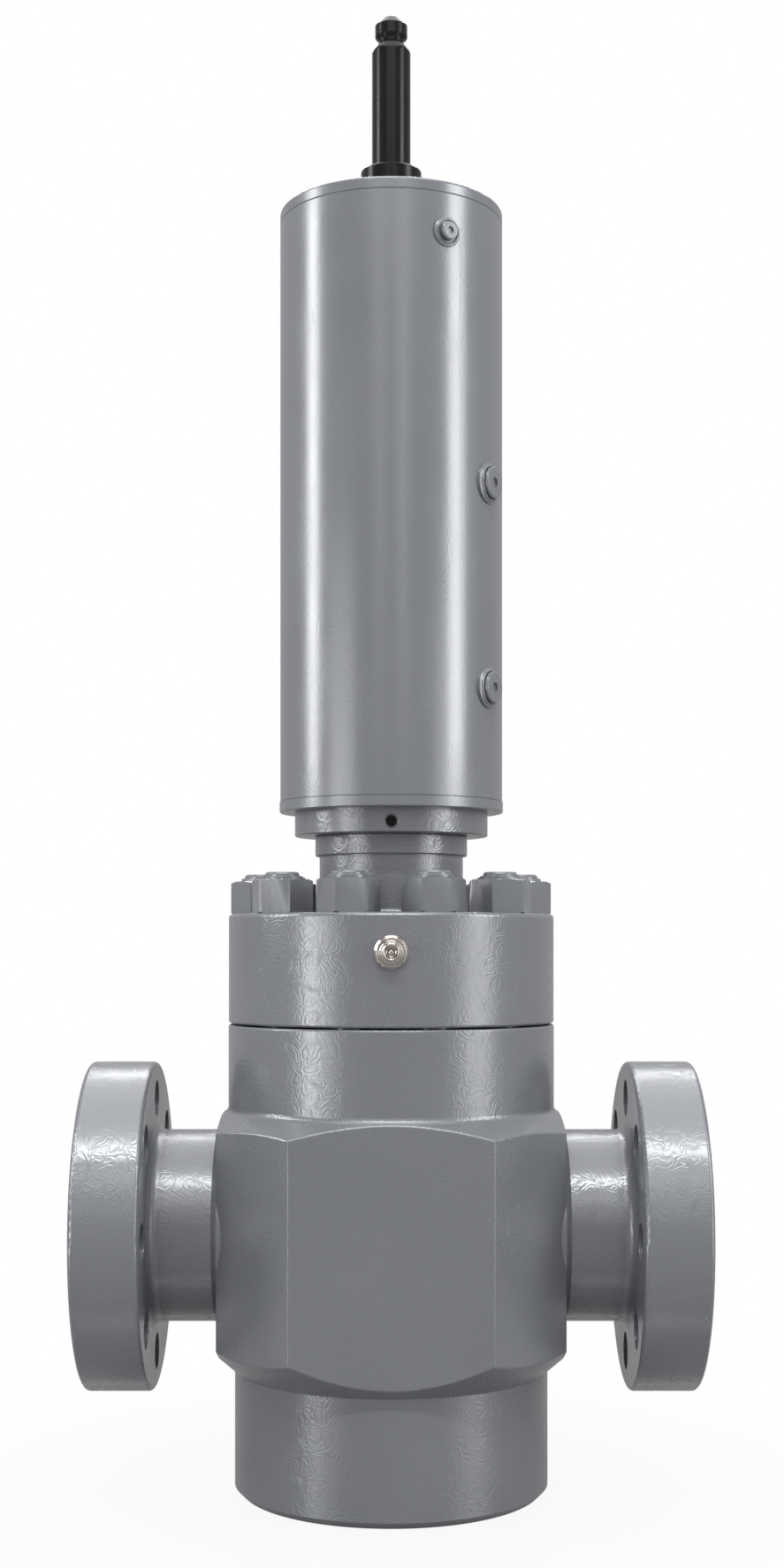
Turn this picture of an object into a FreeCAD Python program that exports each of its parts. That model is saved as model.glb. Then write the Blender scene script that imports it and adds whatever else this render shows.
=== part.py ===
import FreeCAD, Part
import math
import os
import re
import Sketcher

# Wellhead gate valve, closed, with its spring-return actuator on top.
# Origin at the centre of the base's underside, +Z up, +X along the flow line.
# Lengths in millimetres, angles in degrees.
SIZES = {
    # Body forging, from the base up
    "base_step": 11.0,
    "base_height": 116.0,
    "base_chamfer": 6.5,
    "shoulder_step": 5.0,
    "block_corner": 69.0,
    "block_under_angle": 41.0,
    "block_top_angle": 29.0,
    "block_edge_round": 2.0,
    "shoulder_rise": 20.15,
    "shoulder_round": 6.0,
    "stud_edge": 31.0,
    "gate_room_depth": 22.0,
    "body_top_round": 2.0,
    # Flow line through the body, with an end flange on each side
    "flow_height": 250.5,
    "flow_bore": 103.2,
    "face_to_face": 584.0,
    "flange_dia": 311.2,
    "flange_thick": 62.0,
    "flange_round": 4.0,
    "raised_face_dia": 193.7,
    "raised_face_height": 6.0,
    "ring_groove_pitch": 161.9,
    "ring_groove_width": 11.9,
    "ring_groove_depth": 7.9,
    "ring_groove_angle": 23.0,
    "bolt_circle": 241.3,
    "inlet_bolt_hole": 35.0,
    "outlet_bolt_hole": 35.5,
    "bolt_count": 8,
    "hub_dia": 181.7,
    "hub_flange_round": 10.0,
    "hub_block_flare": 5.0,
    # Slot-shaped cavity for the gate, in body and bonnet
    "gate_side_gap": 3.0,
    "guide_thick": 20.0,
    "gate_floor_gap": 9.5,
    "gate_top_gap": 5.0,
    # Gate: port centre raised by the stroke when closed
    "stroke": 115.0,
    "gate_thick": 50.0,
    "gate_land": 13.4,
    "gate_tail": 183.0,
    "gate_head": 95.5,
    "gate_tail_chamfer": 6.0,
    "gate_slot_neck": 31.0,
    "gate_slot_neck_depth": 12.0,
    "gate_slot_width": 45.4,
    "gate_slot_height": 15.0,
    # Seat rings and their seals
    "seat_wall": 18.4,
    "seat_length": 35.0,
    "seat_gap": 0.1,
    "seat_fit": 0.1,
    "seat_face_chamfer": 1.5,
    "seat_seal_inset": 8.4,
    "seat_seal_width": 5.0,
    # Guide strips that hold the gate between the seats
    "guide_gap": 0.3,
    "guide_fit": 0.2,
    "guide_height": 330.0,
    # Bonnet
    "bonnet_gap": 1.5,
    "bonnet_inset": 0.25,
    "bonnet_thick": 103.0,
    "bonnet_top_round": 4.0,
    "bonnet_bottom_round": 2.5,
    "neck_dia": 137.0,
    "neck_height": 55.0,
    "neck_round": 5.0,
    "neck_bore": 90.0,
    "spigot_dia": 120.0,
    "spigot_top_gap": 3.5,
    "backseat_wall": 12.0,
    "metal_ring_land": 10.0,
    "metal_ring_width": 10.0,
    "metal_ring_height": 17.5,
    "metal_ring_bevel": 2.5,
    "metal_ring_fit": 0.1,
    # Studs and nuts of the bonnet joint
    "stud_dia": 31.75,
    "stud_count": 10,
    "stud_inset": 29.0,
    "stud_depth": 50.0,
    "stud_hole_fit": 0.8,
    "stud_tip": 6.6,
    "stud_end_chamfer": 2.5,
    "thread_fit": 0.1,
    "nut_flats": 50.8,
    "nut_height": 31.0,
    "nut_chamfer_angle": 30.0,
    # Stem, its packing and the gland nut
    "stem_dia": 38.1,
    "stem_hole_fit": 0.3,
    "stem_neck_dia": 30.0,
    "stem_head_dia": 44.0,
    "stem_head_height": 14.0,
    "stem_slack": 0.5,
    "packing_bore": 70.0,
    "packing_ring_height": 12.0,
    "packing_count": 5,
    "packing_lip": 4.0,
    "packing_run": 0.05,
    "gland_dia": 84.0,
    "gland_height": 22.0,
    "gland_key_count": 4,
    "gland_key_circle": 61.0,
    "gland_key_dia": 8.0,
    "gland_key_depth": 10.0,
    # Grease fitting in the front of the bonnet
    "grease_height": 511.3,
    "grease_azimuth": -90.0,
    "grease_flange_dia": 30.3,
    "grease_flange_height": 5.0,
    "grease_flange_chamfer": 2.0,
    "grease_step_dia": 21.0,
    "grease_step_height": 4.0,
    "grease_nose_dia": 16.5,
    "grease_nose_height": 4.0,
    "grease_nose_chamfer": 1.2,
    "grease_mouth_dia": 11.6,
    "grease_mouth_depth": 3.5,
    "grease_seat_dia": 7.0,
    "grease_ball_dia": 8.5,
    "grease_ball_gap": 0.3,
    "grease_chamber_length": 16.0,
    "grease_shank_dia": 20.0,
    "grease_shank_length": 26.0,
    "grease_passage_dia": 5.0,
    # Lock ring, adapter and its screws
    "lock_ring_dia": 145.0,
    "lock_ring_height": 19.0,
    "edge_break": 1.0,
    "adapter_dia": 184.0,
    "adapter_height": 22.5,
    "set_screw_count": 3,
    "set_screw_drop": 12.5,
    "set_screw_hole": 10.4,
    "set_screw_dia": 10.0,
    "set_screw_mouth": 14.0,
    "set_screw_sink": 4.0,
    "set_screw_socket": 5.0,
    "set_screw_socket_depth": 5.0,
    "adapter_screw_count": 6,
    "adapter_screw_circle": 152.0,
    "adapter_screw_dia": 12.0,
    "adapter_screw_length": 30.0,
    "adapter_screw_head_dia": 18.0,
    "adapter_screw_head_height": 12.0,
    "adapter_screw_socket": 10.0,
    "adapter_screw_socket_depth": 6.0,
    "adapter_screw_start": 0.0,
    # Actuator barrel and its two ends
    "lower_head_step": 0.7,
    "lower_head_rim": 10.1,
    "lower_head_spigot": 14.5,
    "stop_recess": 4.0,
    "housing_wall": 11.9,
    "housing_bore": 188.0,
    "housing_length": 549.4,
    "seam_chamfer": 0.7,
    "spigot_fit": 0.1,
    "cap_rim": 11.0,
    "cap_spigot": 17.0,
    "cap_round": 2.5,
    "static_seal_width": 5.0,
    "static_seal_depth": 4.0,
    # Ports on the barrel
    "vent_drop": 19.2,
    "vent_azimuth": -61.5,
    "vent_boss_dia": 26.7,
    "vent_boss_reach": 3.0,
    "vent_head_dia": 16.0,
    "vent_head_height": 5.5,
    "vent_socket": 8.0,
    "vent_thread_dia": 10.0,
    "port_rise": 103.0,
    "port_spacing": 189.8,
    "port_azimuth": -31.5,
    "port_boss_dia": 38.0,
    "port_boss_reach": 4.0,
    "port_head_dia": 29.0,
    "port_head_height": 5.2,
    "port_socket": 12.0,
    "port_thread_dia": 18.0,
    "boss_step": 1.4,
    "boss_bevel": 0.7,
    "boss_fit": 0.1,
    "plug_edge_round": 0.8,
    "plug_socket_depth": 6.0,
    "plug_tip_gap": 2.0,
    # Gland on the cap and the shaft through it
    "gland_collar_dia": 57.8,
    "gland_collar_height": 42.5,
    "gland_collar_chamfer": 1.5,
    "gland_thread_dia": 48.0,
    "bushing_dia": 43.0,
    "bushing_height": 22.0,
    "shaft_run": 0.05,
    "shaft_hole_fit": 0.3,
    "shaft_seal_height": 6.0,
    "shaft_seal_depth": 3.6,
    "shaft_seal_drop": 12.0,
    "shaft_dia": 36.7,
    "shaft_reach": 188.3,
    "shaft_head_dia": 30.7,
    "shaft_head_height": 10.5,
    "shaft_head_chamfer": 6.8,
    "shaft_head_taper": 3.8,
    "shaft_neck_dia": 25.5,
    "shaft_neck_length": 1.9,
    "shaft_cone_height": 7.8,
    "shaft_cone_dia": 35.2,
    "shaft_shoulder_height": 2.0,
    "shaft_spigot_dia": 24.0,
    "shaft_spigot_reach": 30.0,
    "shaft_mark_drop": 82.0,
    "shaft_mark_width": 0.8,
    "shaft_mark_depth": 0.25,
    # Piston and its rings
    "piston_fit": 0.3,
    "piston_height": 38.0,
    "piston_top_gap": 36.0,
    "piston_chamfer": 2.0,
    "piston_run": 0.05,
    "piston_seal_height": 6.0,
    "piston_seal_depth": 6.0,
    "piston_seal_inset": 5.0,
    "wear_ring_height": 10.0,
    "wear_ring_depth": 2.5,
    # Rod, coupling, stop tube and spring
    "rod_dia": 45.0,
    "coupling_dia": 80.0,
    "coupling_lift": 32.0,
    "coupling_height": 60.0,
    "coupling_chamfer": 3.0,
    "coupling_socket": 25.0,
    "stop_tube_bore": 100.0,
    "stop_tube_wall": 9.0,
    "stop_clearance": 0.5,
    "spring_seat_dia": 172.0,
    "spring_seat_fit": 0.5,
    "spring_seat_height": 8.0,
    "spring_gap": 4.0,
    "spring_wire": 20.0,
    "spring_turns": 9.0,
}

# Sizes that follow from others, worked outwards from the bores
FITTED = {
    "shoulder_height": "flow_height + hub_dia / 2 + shoulder_rise",
    "body_height": "flow_height + stroke + gate_head + gate_top_gap - gate_room_depth - bonnet_gap",
    "gate_width": "flow_bore + 2 * gate_land",
    "seat_dia": "flow_bore + 2 * seat_wall",
    "seat_seal_dia": "flow_bore + 2 * seat_seal_inset",
    "cavity_width": "gate_thick + 2 * gate_side_gap",
    "cavity_length": "gate_width + 2 * guide_thick",
    "metal_ring_dia": "cavity_length + 2 * metal_ring_land",
    "stud_circle": "metal_ring_dia + 2 * stud_inset",
    "body_top_dia": "stud_circle + 2 * stud_edge",
    "block_width": "body_top_dia + 2 * shoulder_step",
    "base_dia": "block_width - 2 * base_step",
    "bonnet_dia": "body_top_dia - 2 * bonnet_inset",
    "housing_dia": "housing_bore + 2 * housing_wall",
    "lower_head_dia": "housing_dia + 2 * lower_head_step",
    "stop_tube_dia": "stop_tube_bore + 2 * stop_tube_wall",
    "spring_seat_bore": "stop_tube_dia + 2 * spring_seat_fit",
    "spring_dia": "stop_tube_dia + 2 * spring_gap + spring_wire",
}

# Levels along the stem's axis
GATE_PORT = "(flow_height + stroke)"
GATE_LOW = f"({GATE_PORT} - gate_tail)"
GATE_TOP = f"({GATE_PORT} + gate_head)"
CAVITY_FLOOR = f"({GATE_LOW} - stroke - gate_floor_gap)"
CAVITY_TOP = f"({GATE_TOP} + gate_top_gap)"
BONNET_LOW = "(body_height + bonnet_gap)"
BONNET_TOP = f"({BONNET_LOW} + bonnet_thick)"
PACKING_LOW = f"({CAVITY_TOP} + backseat_wall)"
GLAND_LOW = f"({PACKING_LOW} + packing_ring_height * packing_count)"
GLAND_TOP = f"({GLAND_LOW} + gland_height)"
NECK_TOP = f"({BONNET_TOP} + neck_height)"
LOCK_RING_TOP = f"({NECK_TOP} + lock_ring_height)"
ADAPTER_TOP = f"({LOCK_RING_TOP} + adapter_height)"
SPIGOT_TOP = f"({ADAPTER_TOP} - spigot_top_gap)"
HEAD_RIM_TOP = f"({ADAPTER_TOP} + lower_head_rim)"
HEAD_TOP = f"({HEAD_RIM_TOP} + lower_head_spigot)"
HOUSING_TOP = f"({HEAD_RIM_TOP} + housing_length)"
CAP_LOW = f"({HOUSING_TOP} - cap_spigot)"
CAP_TOP = f"({HOUSING_TOP} + cap_rim)"
COLLAR_TOP = f"({CAP_TOP} + gland_collar_height)"
SHAFT_TOP = f"({CAP_TOP} + shaft_reach)"
PISTON_TOP = f"({CAP_LOW} - piston_top_gap)"
PISTON_LOW = f"({PISTON_TOP} - piston_height)"
COUPLING_LOW = f"({HEAD_TOP} + coupling_lift)"
COUPLING_TOP = f"({COUPLING_LOW} + coupling_height)"
SPRING_LOW = f"({HEAD_TOP} + spring_seat_height)"
VENT_HEIGHT = f"({CAP_LOW} - vent_drop)"
PORT_HEIGHTS = [f"({HEAD_RIM_TOP} + port_rise + port_spacing * {place})" for place in (0, 1)]

# Distances along the flow line, from the stem's axis
FLANGE_FACE = "(face_to_face / 2)"
FLANGE_FRONT = "(face_to_face / 2 - raised_face_height)"
FLANGE_BACK = f"({FLANGE_FRONT} - flange_thick)"
SEAT_FRONT = "(gate_thick / 2 + seat_gap)"
SEAT_BACK = f"({SEAT_FRONT} + seat_length)"

TOLERANCE = 0.01

doc = FreeCAD.newDocument("gate_valve")
sheet = doc.addObject("Spreadsheet::Sheet", "Sizes")
for row, (alias, number) in enumerate((SIZES | FITTED).items(), 1):
    sheet.set(f"A{row}", alias)
    sheet.setAlias(f"B{row}", alias)
    sheet.set(f"B{row}", f"={number}")
doc.recompute()


def bound(text):
    """The expression with each size's name pointing at the sheet."""
    return re.sub(r"[a-z]\w+", lambda word: "Sizes." * (word.group() in SIZES | FITTED) + word.group(), text)


def value(text):
    """What an expression comes to, as a plain number."""
    return float(sheet.evalExpression(bound(text)))


def new_body(name):
    body = doc.addObject("PartDesign::Body", name)
    body.Label = name
    return body


def origin_part(body, role):
    return next(item for item in body.Origin.OriginFeatures if item.Role == role)


def new_sketch(body, name, plane, shift=("0", "0", "0"), azimuth="0"):
    """A sketch on an origin plane, shifted in the plane's own directions and turned about the stem's axis."""
    sketch = body.newObject("Sketcher::SketchObject", name)
    sketch.AttachmentSupport = [(origin_part(body, plane), "")]
    sketch.MapMode = "FlatFace"
    if azimuth != "0":
        sketch.AttachmentOffset = FreeCAD.Placement(
            FreeCAD.Vector(0, 0, 0), FreeCAD.Rotation(FreeCAD.Vector(0, 1, 0), value(azimuth))
        )
    for direction, text in zip("xyz", shift):
        if text != "0":
            sketch.setExpression(f"AttachmentOffset.Base.{direction}", bound(text))
    return sketch


def place_point(sketch, shape, end, across, up):
    """Hold one point of a sketch at a distance across and up from the sketch's origin."""
    for kind, text in (("DistanceX", across), ("DistanceY", up)):
        index = sketch.addConstraint(Sketcher.Constraint(kind, -1, 1, shape, end, value(text)))
        sketch.setExpression(f"Constraints[{index}]", bound(text))


def draw_outline(sketch, points):
    """A closed outline of straight sides, each corner held by its two expressions."""
    corners = [FreeCAD.Vector(value(across), value(up), 0) for across, up in points]
    first = sketch.GeometryCount
    for here, there in zip(corners, corners[1:] + corners[:1]):
        sketch.addGeometry(Part.LineSegment(here, there), False)
    for side, (across, up) in enumerate(points):
        following = first + (side + 1) % len(points)
        sketch.addConstraint(Sketcher.Constraint("Coincident", first + side, 2, following, 1))
        place_point(sketch, first + side, 1, across, up)


def draw_circle(sketch, dia, across="0", up="0"):
    centre = FreeCAD.Vector(value(across), value(up), 0)
    circle = sketch.addGeometry(Part.Circle(centre, FreeCAD.Vector(0, 0, 1), value(dia) / 2), False)
    index = sketch.addConstraint(Sketcher.Constraint("Diameter", circle, value(dia)))
    sketch.setExpression(f"Constraints[{index}]", bound(dia))
    place_point(sketch, circle, 3, across, up)


def draw_hexagon(sketch, flats, across="0", up="0", first_corner=30):
    """A hexagon given by its width across flats."""
    corners = [first_corner + 60 * corner for corner in range(6)]
    points = [
        (f"{across} + {flats} / sqrt(3) * cos({angle})", f"{up} + {flats} / sqrt(3) * sin({angle})")
        for angle in corners
    ]
    draw_outline(sketch, points)


def draw_slot(sketch, width, length):
    """A slot with round ends, its length along the sketch's upright direction."""
    half, reach = value(width) / 2, (value(length) - value(width)) / 2
    top, bottom = FreeCAD.Vector(0, reach, 0), FreeCAD.Vector(0, -reach, 0)
    normal = FreeCAD.Vector(0, 0, 1)
    sides = [
        Part.ArcOfCircle(Part.Circle(top, normal, half), 0, math.pi),
        Part.LineSegment(FreeCAD.Vector(-half, reach, 0), FreeCAD.Vector(-half, -reach, 0)),
        Part.ArcOfCircle(Part.Circle(bottom, normal, half), math.pi, 2 * math.pi),
        Part.LineSegment(FreeCAD.Vector(half, -reach, 0), FreeCAD.Vector(half, reach, 0)),
    ]
    upper, left, lower, right = [sketch.addGeometry(side, False) for side in sides]
    for one, one_end, other, other_end in (
        (upper, 2, left, 1), (left, 2, lower, 1), (lower, 2, right, 1), (right, 2, upper, 1)
    ):
        sketch.addConstraint(Sketcher.Constraint("Tangent", one, one_end, other, other_end))
    place_point(sketch, upper, 3, "0", f"({length} - {width}) / 2")
    place_point(sketch, lower, 3, "0", f"({width} - {length}) / 2")
    index = sketch.addConstraint(Sketcher.Constraint("Radius", upper, half))
    sketch.setExpression(f"Constraints[{index}]", bound(f"{width} / 2"))


def turn(body, name, points, cut=False, up="0", azimuth="0", about="V_Axis"):
    """Turn an outline of (distance out, height) points about the stem's axis, or about a radial axis."""
    sketch = new_sketch(body, name + "_outline", "XZ_Plane", ("0", up, "0"), azimuth)
    draw_outline(sketch, points)
    feature = body.newObject("PartDesign::Groove" if cut else "PartDesign::Revolution", name)
    feature.Profile = sketch
    feature.ReferenceAxis = (sketch, [about])
    feature.Angle = 360
    return feature


def pad(body, name, sketch, length):
    feature = body.newObject("PartDesign::Pad", name)
    feature.Profile = sketch
    feature.setExpression("Length", bound(length))
    return feature


def pocket(body, name, sketch, length, forward=False):
    """Cut against the sketch's normal, or along it where forward is set."""
    feature = body.newObject("PartDesign::Pocket", name)
    feature.Profile = sketch
    feature.Reversed = forward
    feature.setExpression("Length", bound(length))
    return feature


def pocket_both_ways(body, name, sketch):
    feature = body.newObject("PartDesign::Pocket", name)
    feature.Profile = sketch
    feature.Type = "ThroughAll"
    feature.Midplane = True
    return feature


def repeat_round(body, name, features, count, axis=None):
    """Repeat features evenly about the stem's axis, or about the axis given."""
    doc.recompute()
    feature = body.newObject("PartDesign::PolarPattern", name)
    feature.Originals = features
    feature.Axis = axis or (origin_part(body, "Z_Axis"), [""])
    feature.Angle = 360
    feature.setExpression("Occurrences", bound(count))
    body.Tip = feature
    return feature


def find_edges(feature, wanted):
    doc.recompute()
    return [f"Edge{number}" for number, edge in enumerate(feature.Shape.Edges, 1) if wanted(edge)]


def is_ring(edge, dia, level, direction="z"):
    """Whether an edge is a circle of a diameter about an axis, at a level along it."""
    if edge.Degenerated or not isinstance(edge.Curve, Part.Circle):
        return False
    curve = edge.Curve
    same_size = abs(curve.Radius - value(dia) / 2) < TOLERANCE
    along = abs(getattr(curve.Axis, direction)) > 1 - TOLERANCE
    return same_size and along and abs(getattr(curve.Center, direction) - value(level)) < TOLERANCE


def round_edges(body, name, edges, radius):
    base = body.Tip
    feature = body.newObject("PartDesign::Fillet", name)
    feature.Base = (base, edges)
    feature.setExpression("Radius", bound(radius))
    return feature


def round_ring(body, name, dia, level, radius, direction="z"):
    edges = find_edges(body.Tip, lambda edge: is_ring(edge, dia, level, direction))
    return round_edges(body, name, edges, radius)


def on_side(points, sign):
    """The points on the inlet side, sign -1, or on the outlet side, sign 1."""
    return [(f"{sign} * ({across})", up) for across, up in points]


def ring_section(outer, inner, low, top):
    """The outline of a plain ring."""
    return [(inner, low), (outer, low), (outer, top), (inner, top)]


def make_valve_body():
    body = new_body("valve_body")
    half = "block_width / 2"
    flat = "(block_width / 2 - block_corner)"
    plan = [(half, flat), (flat, half), (f"-{flat}", half), (f"-{half}", flat)]
    plan += [(f"-{half}", f"-{flat}"), (f"-{flat}", f"-{half}"), (flat, f"-{half}"), (half, f"-{flat}")]
    sketch = new_sketch(body, "block_plan", "XY_Plane", ("0", "0", "base_height"))
    draw_outline(sketch, plan)
    pad(body, "block", sketch, "shoulder_height - base_height")

    # Cones turned on the block's upper and lower corners
    reach = "block_width"
    low_rise = f"({reach} - base_dia / 2) * tan(block_under_angle)"
    top_fall = f"({reach} - body_top_dia / 2) * tan(block_top_angle)"
    under = [("base_dia / 2", "base_height"), (reach, "base_height"), (reach, f"base_height + {low_rise}")]
    turn(body, "under_cone", under, cut=True)
    over = [("body_top_dia / 2", "shoulder_height"), (reach, "shoulder_height")]
    over += [(reach, f"shoulder_height - {top_fall}")]
    turn(body, "top_cone", over, cut=True)
    block_edges = find_edges(body.Tip, is_block_edge)
    round_edges(body, "block_rounds", block_edges, "block_edge_round")

    # Round base and upper cylinder, one turned core
    chamfer = "base_chamfer"
    core = [("0", "0"), (f"base_dia / 2 - {chamfer}", "0"), ("base_dia / 2", chamfer)]
    core += [("base_dia / 2", "base_height"), ("body_top_dia / 2", "shoulder_height")]
    core += [("body_top_dia / 2", "body_height"), ("0", "body_height")]
    turn(body, "core", core)
    round_ring(body, "shoulder_fillet", "body_top_dia", "shoulder_height", "shoulder_round")
    round_ring(body, "body_top_edge", "body_top_dia", "body_height", "body_top_round")

    # Hub and flange on each side
    for side, sign in (("inlet", "-1"), ("outlet", "1")):
        flare = "(hub_dia / 2 + hub_block_flare)"
        face = [("0", "0"), (FLANGE_FACE, "0"), (FLANGE_FACE, "raised_face_dia / 2")]
        face += [(FLANGE_FRONT, "raised_face_dia / 2"), (FLANGE_FRONT, "flange_dia / 2")]
        face += [(FLANGE_BACK, "flange_dia / 2"), (FLANGE_BACK, "hub_dia / 2")]
        face += [("block_width / 2 + hub_block_flare", "hub_dia / 2")]
        face += [("block_width / 2", flare), ("0", flare)]
        outline = on_side(face, sign)
        turn(body, f"{side}_end", outline, up="flow_height", about="H_Axis")
        back, front = f"{sign} * {FLANGE_BACK}", f"{sign} * {FLANGE_FRONT}"
        round_ring(body, f"{side}_hub_round", "hub_dia", back, "hub_flange_round", "x")
        for name, level in (("front", front), ("back", back)):
            round_ring(body, f"{side}_flange_{name}_edge", "flange_dia", level, "flange_round", "x")

        # Gasket groove with sloping walls
        slope = "ring_groove_depth * tan(ring_groove_angle)"
        wall = "ring_groove_width / 2"
        middle = "ring_groove_pitch / 2"
        groove = [(FLANGE_FACE, f"{middle} - {wall}"), (FLANGE_FACE, f"{middle} + {wall}")]
        groove += [(f"({FLANGE_FACE} - ring_groove_depth)", f"{middle} + {wall} - {slope}")]
        groove += [(f"({FLANGE_FACE} - ring_groove_depth)", f"{middle} - {wall} + {slope}")]
        outline = on_side(groove, sign)
        turn(body, f"{side}_gasket_groove", outline, cut=True, up="flow_height", about="H_Axis")

        # Bolt holes, the first one level with the flow line
        sketch = new_sketch(body, f"{side}_hole_plan", "YZ_Plane", ("0", "flow_height", back))
        draw_circle(sketch, f"{side}_bolt_hole", "bolt_circle / 2")
        hole = pocket(body, f"{side}_bolt_hole", sketch, "flange_thick", forward=sign == "1")
        repeat_round(body, f"{side}_bolt_holes", [hole], "bolt_count", (sketch, ["N_Axis"]))

    # Flow bore and seat pockets
    seat_bore = "(seat_dia / 2 + seat_fit)"
    bore = [(f"-{FLANGE_FACE}", "0"), (f"-{FLANGE_FACE}", "flow_bore / 2")]
    bore += [(f"-{SEAT_BACK}", "flow_bore / 2"), (f"-{SEAT_BACK}", seat_bore)]
    bore += [(SEAT_BACK, seat_bore), (SEAT_BACK, "flow_bore / 2")]
    bore += [(FLANGE_FACE, "flow_bore / 2"), (FLANGE_FACE, "0")]
    turn(body, "flow_line", bore, cut=True, up="flow_height", about="H_Axis")

    # Gate cavity, open at the top
    sketch = new_sketch(body, "cavity_plan", "XY_Plane", ("0", "0", "body_height"))
    draw_slot(sketch, "cavity_width", "cavity_length")
    pocket(body, "cavity", sketch, f"body_height - {CAVITY_FLOOR}")
    turn(body, "metal_ring_groove", metal_ring_groove("body_height", "-1"), cut=True)

    # Threaded stud holes
    sketch = new_sketch(body, "stud_hole_plan", "XY_Plane", ("0", "0", "body_height"))
    draw_circle(sketch, "stud_dia + 2 * thread_fit", "stud_circle / 2")
    hole = pocket(body, "stud_hole", sketch, "stud_depth")
    repeat_round(body, "stud_holes", [hole], "stud_count")
    return body


def is_block_edge(edge):
    """The block's upright edges and the arcs where the cones cut its flats."""
    low, high = value("base_height") + TOLERANCE, value("shoulder_height") - TOLERANCE
    box = edge.BoundBox
    inner = value("body_top_dia") / 2 + TOLERANCE
    far = max(abs(box.XMin), abs(box.XMax), abs(box.YMin), abs(box.YMax)) > inner
    return box.ZMin > low and box.ZMax < high and far


def metal_ring_groove(face, way):
    """A groove in a joint face for half of the metal ring, with its clearance."""
    inner = "(metal_ring_dia / 2 - metal_ring_width / 2 - metal_ring_fit)"
    outer = "(metal_ring_dia / 2 + metal_ring_width / 2 + metal_ring_fit)"
    depth = "(metal_ring_height / 2 - bonnet_gap / 2)"
    floor = f"{face} + {way} * {depth}"
    bevel_start = f"{face} + {way} * ({depth} - metal_ring_bevel)"
    return [
        (inner, face), (outer, face), (outer, bevel_start), (f"{outer} - metal_ring_bevel", floor),
        (f"{inner} + metal_ring_bevel", floor), (inner, bevel_start),
    ]


def make_seats():
    for name, sign in (("seat_inlet", "-1"), ("seat_outlet", "1")):
        body = new_body(name)
        seal_outer = "(seat_seal_dia / 2 + seat_seal_width / 2)"
        seal_inner = "(seat_seal_dia / 2 - seat_seal_width / 2)"
        groove_floor = f"({SEAT_BACK} - seat_seal_width)"
        ring = [(SEAT_FRONT, "flow_bore / 2"), (SEAT_FRONT, "seat_dia / 2 - seat_face_chamfer")]
        ring += [(f"{SEAT_FRONT} + seat_face_chamfer", "seat_dia / 2"), (SEAT_BACK, "seat_dia / 2")]
        ring += [(SEAT_BACK, seal_outer), (groove_floor, seal_outer)]
        ring += [(groove_floor, seal_inner), (SEAT_BACK, seal_inner), (SEAT_BACK, "flow_bore / 2")]
        outline = on_side(ring, sign)
        turn(body, f"{name}_ring", outline, up="flow_height", about="H_Axis")

    seals = new_body("seat_seals")
    for side, sign in (("inlet", "-1"), ("outlet", "1")):
        section = ring_section(SEAT_BACK, f"({SEAT_BACK} - seat_seal_width)", seal_inner, seal_outer)
        outline = on_side(section, sign)
        turn(seals, f"{side}_seal", outline, up="flow_height", about="H_Axis")


def make_gate_guides():
    body = new_body("gate_guides")
    sketch = new_sketch(body, "guide_plan", "XY_Plane", ("0", "0", CAVITY_FLOOR))
    draw_slot(sketch, "(cavity_width - 2 * guide_fit)", "(cavity_length - 2 * guide_fit)")
    pad(body, "guide_strips", sketch, "guide_height")
    reach, half_gap = "cavity_length", "(gate_width / 2 + guide_gap)"
    sketch = new_sketch(body, "gate_way_plan", "XY_Plane", ("0", "0", CAVITY_FLOOR))
    way = [(f"-{reach}", f"-{half_gap}"), (reach, f"-{half_gap}"), (reach, half_gap), (f"-{reach}", half_gap)]
    draw_outline(sketch, way)
    pocket(body, "gate_way", sketch, "guide_height", forward=True)
    for side, sign in (("inlet", "-1"), ("outlet", "1")):
        near, far = f"{sign} * (gate_thick / 2 - guide_fit)", f"{sign} * cavity_width"
        sketch = new_sketch(body, f"{side}_side_plan", "XY_Plane", ("0", "0", CAVITY_FLOOR))
        draw_outline(sketch, [(near, f"-{reach}"), (far, f"-{reach}"), (far, reach), (near, reach)])
        pocket(body, f"{side}_side", sketch, "guide_height", forward=True)


def make_gate():
    body = new_body("gate")
    half = "gate_width / 2"
    front = [(f"-({half} - gate_tail_chamfer)", GATE_LOW), (f"{half} - gate_tail_chamfer", GATE_LOW)]
    front += [(half, f"{GATE_LOW} + gate_tail_chamfer"), (half, GATE_TOP), (f"-{half}", GATE_TOP)]
    front += [(f"-{half}", f"{GATE_LOW} + gate_tail_chamfer")]
    sketch = new_sketch(body, "slab_outline", "YZ_Plane", ("0", "0", "-gate_thick / 2"))
    draw_outline(sketch, front)
    pad(body, "slab", sketch, "gate_thick")
    sketch = new_sketch(body, "port_plan", "YZ_Plane")
    draw_circle(sketch, "flow_bore", "0", GATE_PORT)
    pocket_both_ways(body, "port", sketch)
    neck, slot = "gate_slot_neck / 2", "gate_slot_width / 2"
    slot_top = f"({GATE_TOP} - gate_slot_neck_depth)"
    slot_low = f"({slot_top} - gate_slot_height)"
    tee = [(f"-{neck}", GATE_TOP), (f"-{neck}", slot_top), (f"-{slot}", slot_top), (f"-{slot}", slot_low)]
    tee += [(slot, slot_low), (slot, slot_top), (neck, slot_top), (neck, GATE_TOP)]
    sketch = new_sketch(body, "tee_slot_plan", "YZ_Plane")
    draw_outline(sketch, tee)
    pocket_both_ways(body, "tee_slot", sketch)


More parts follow.
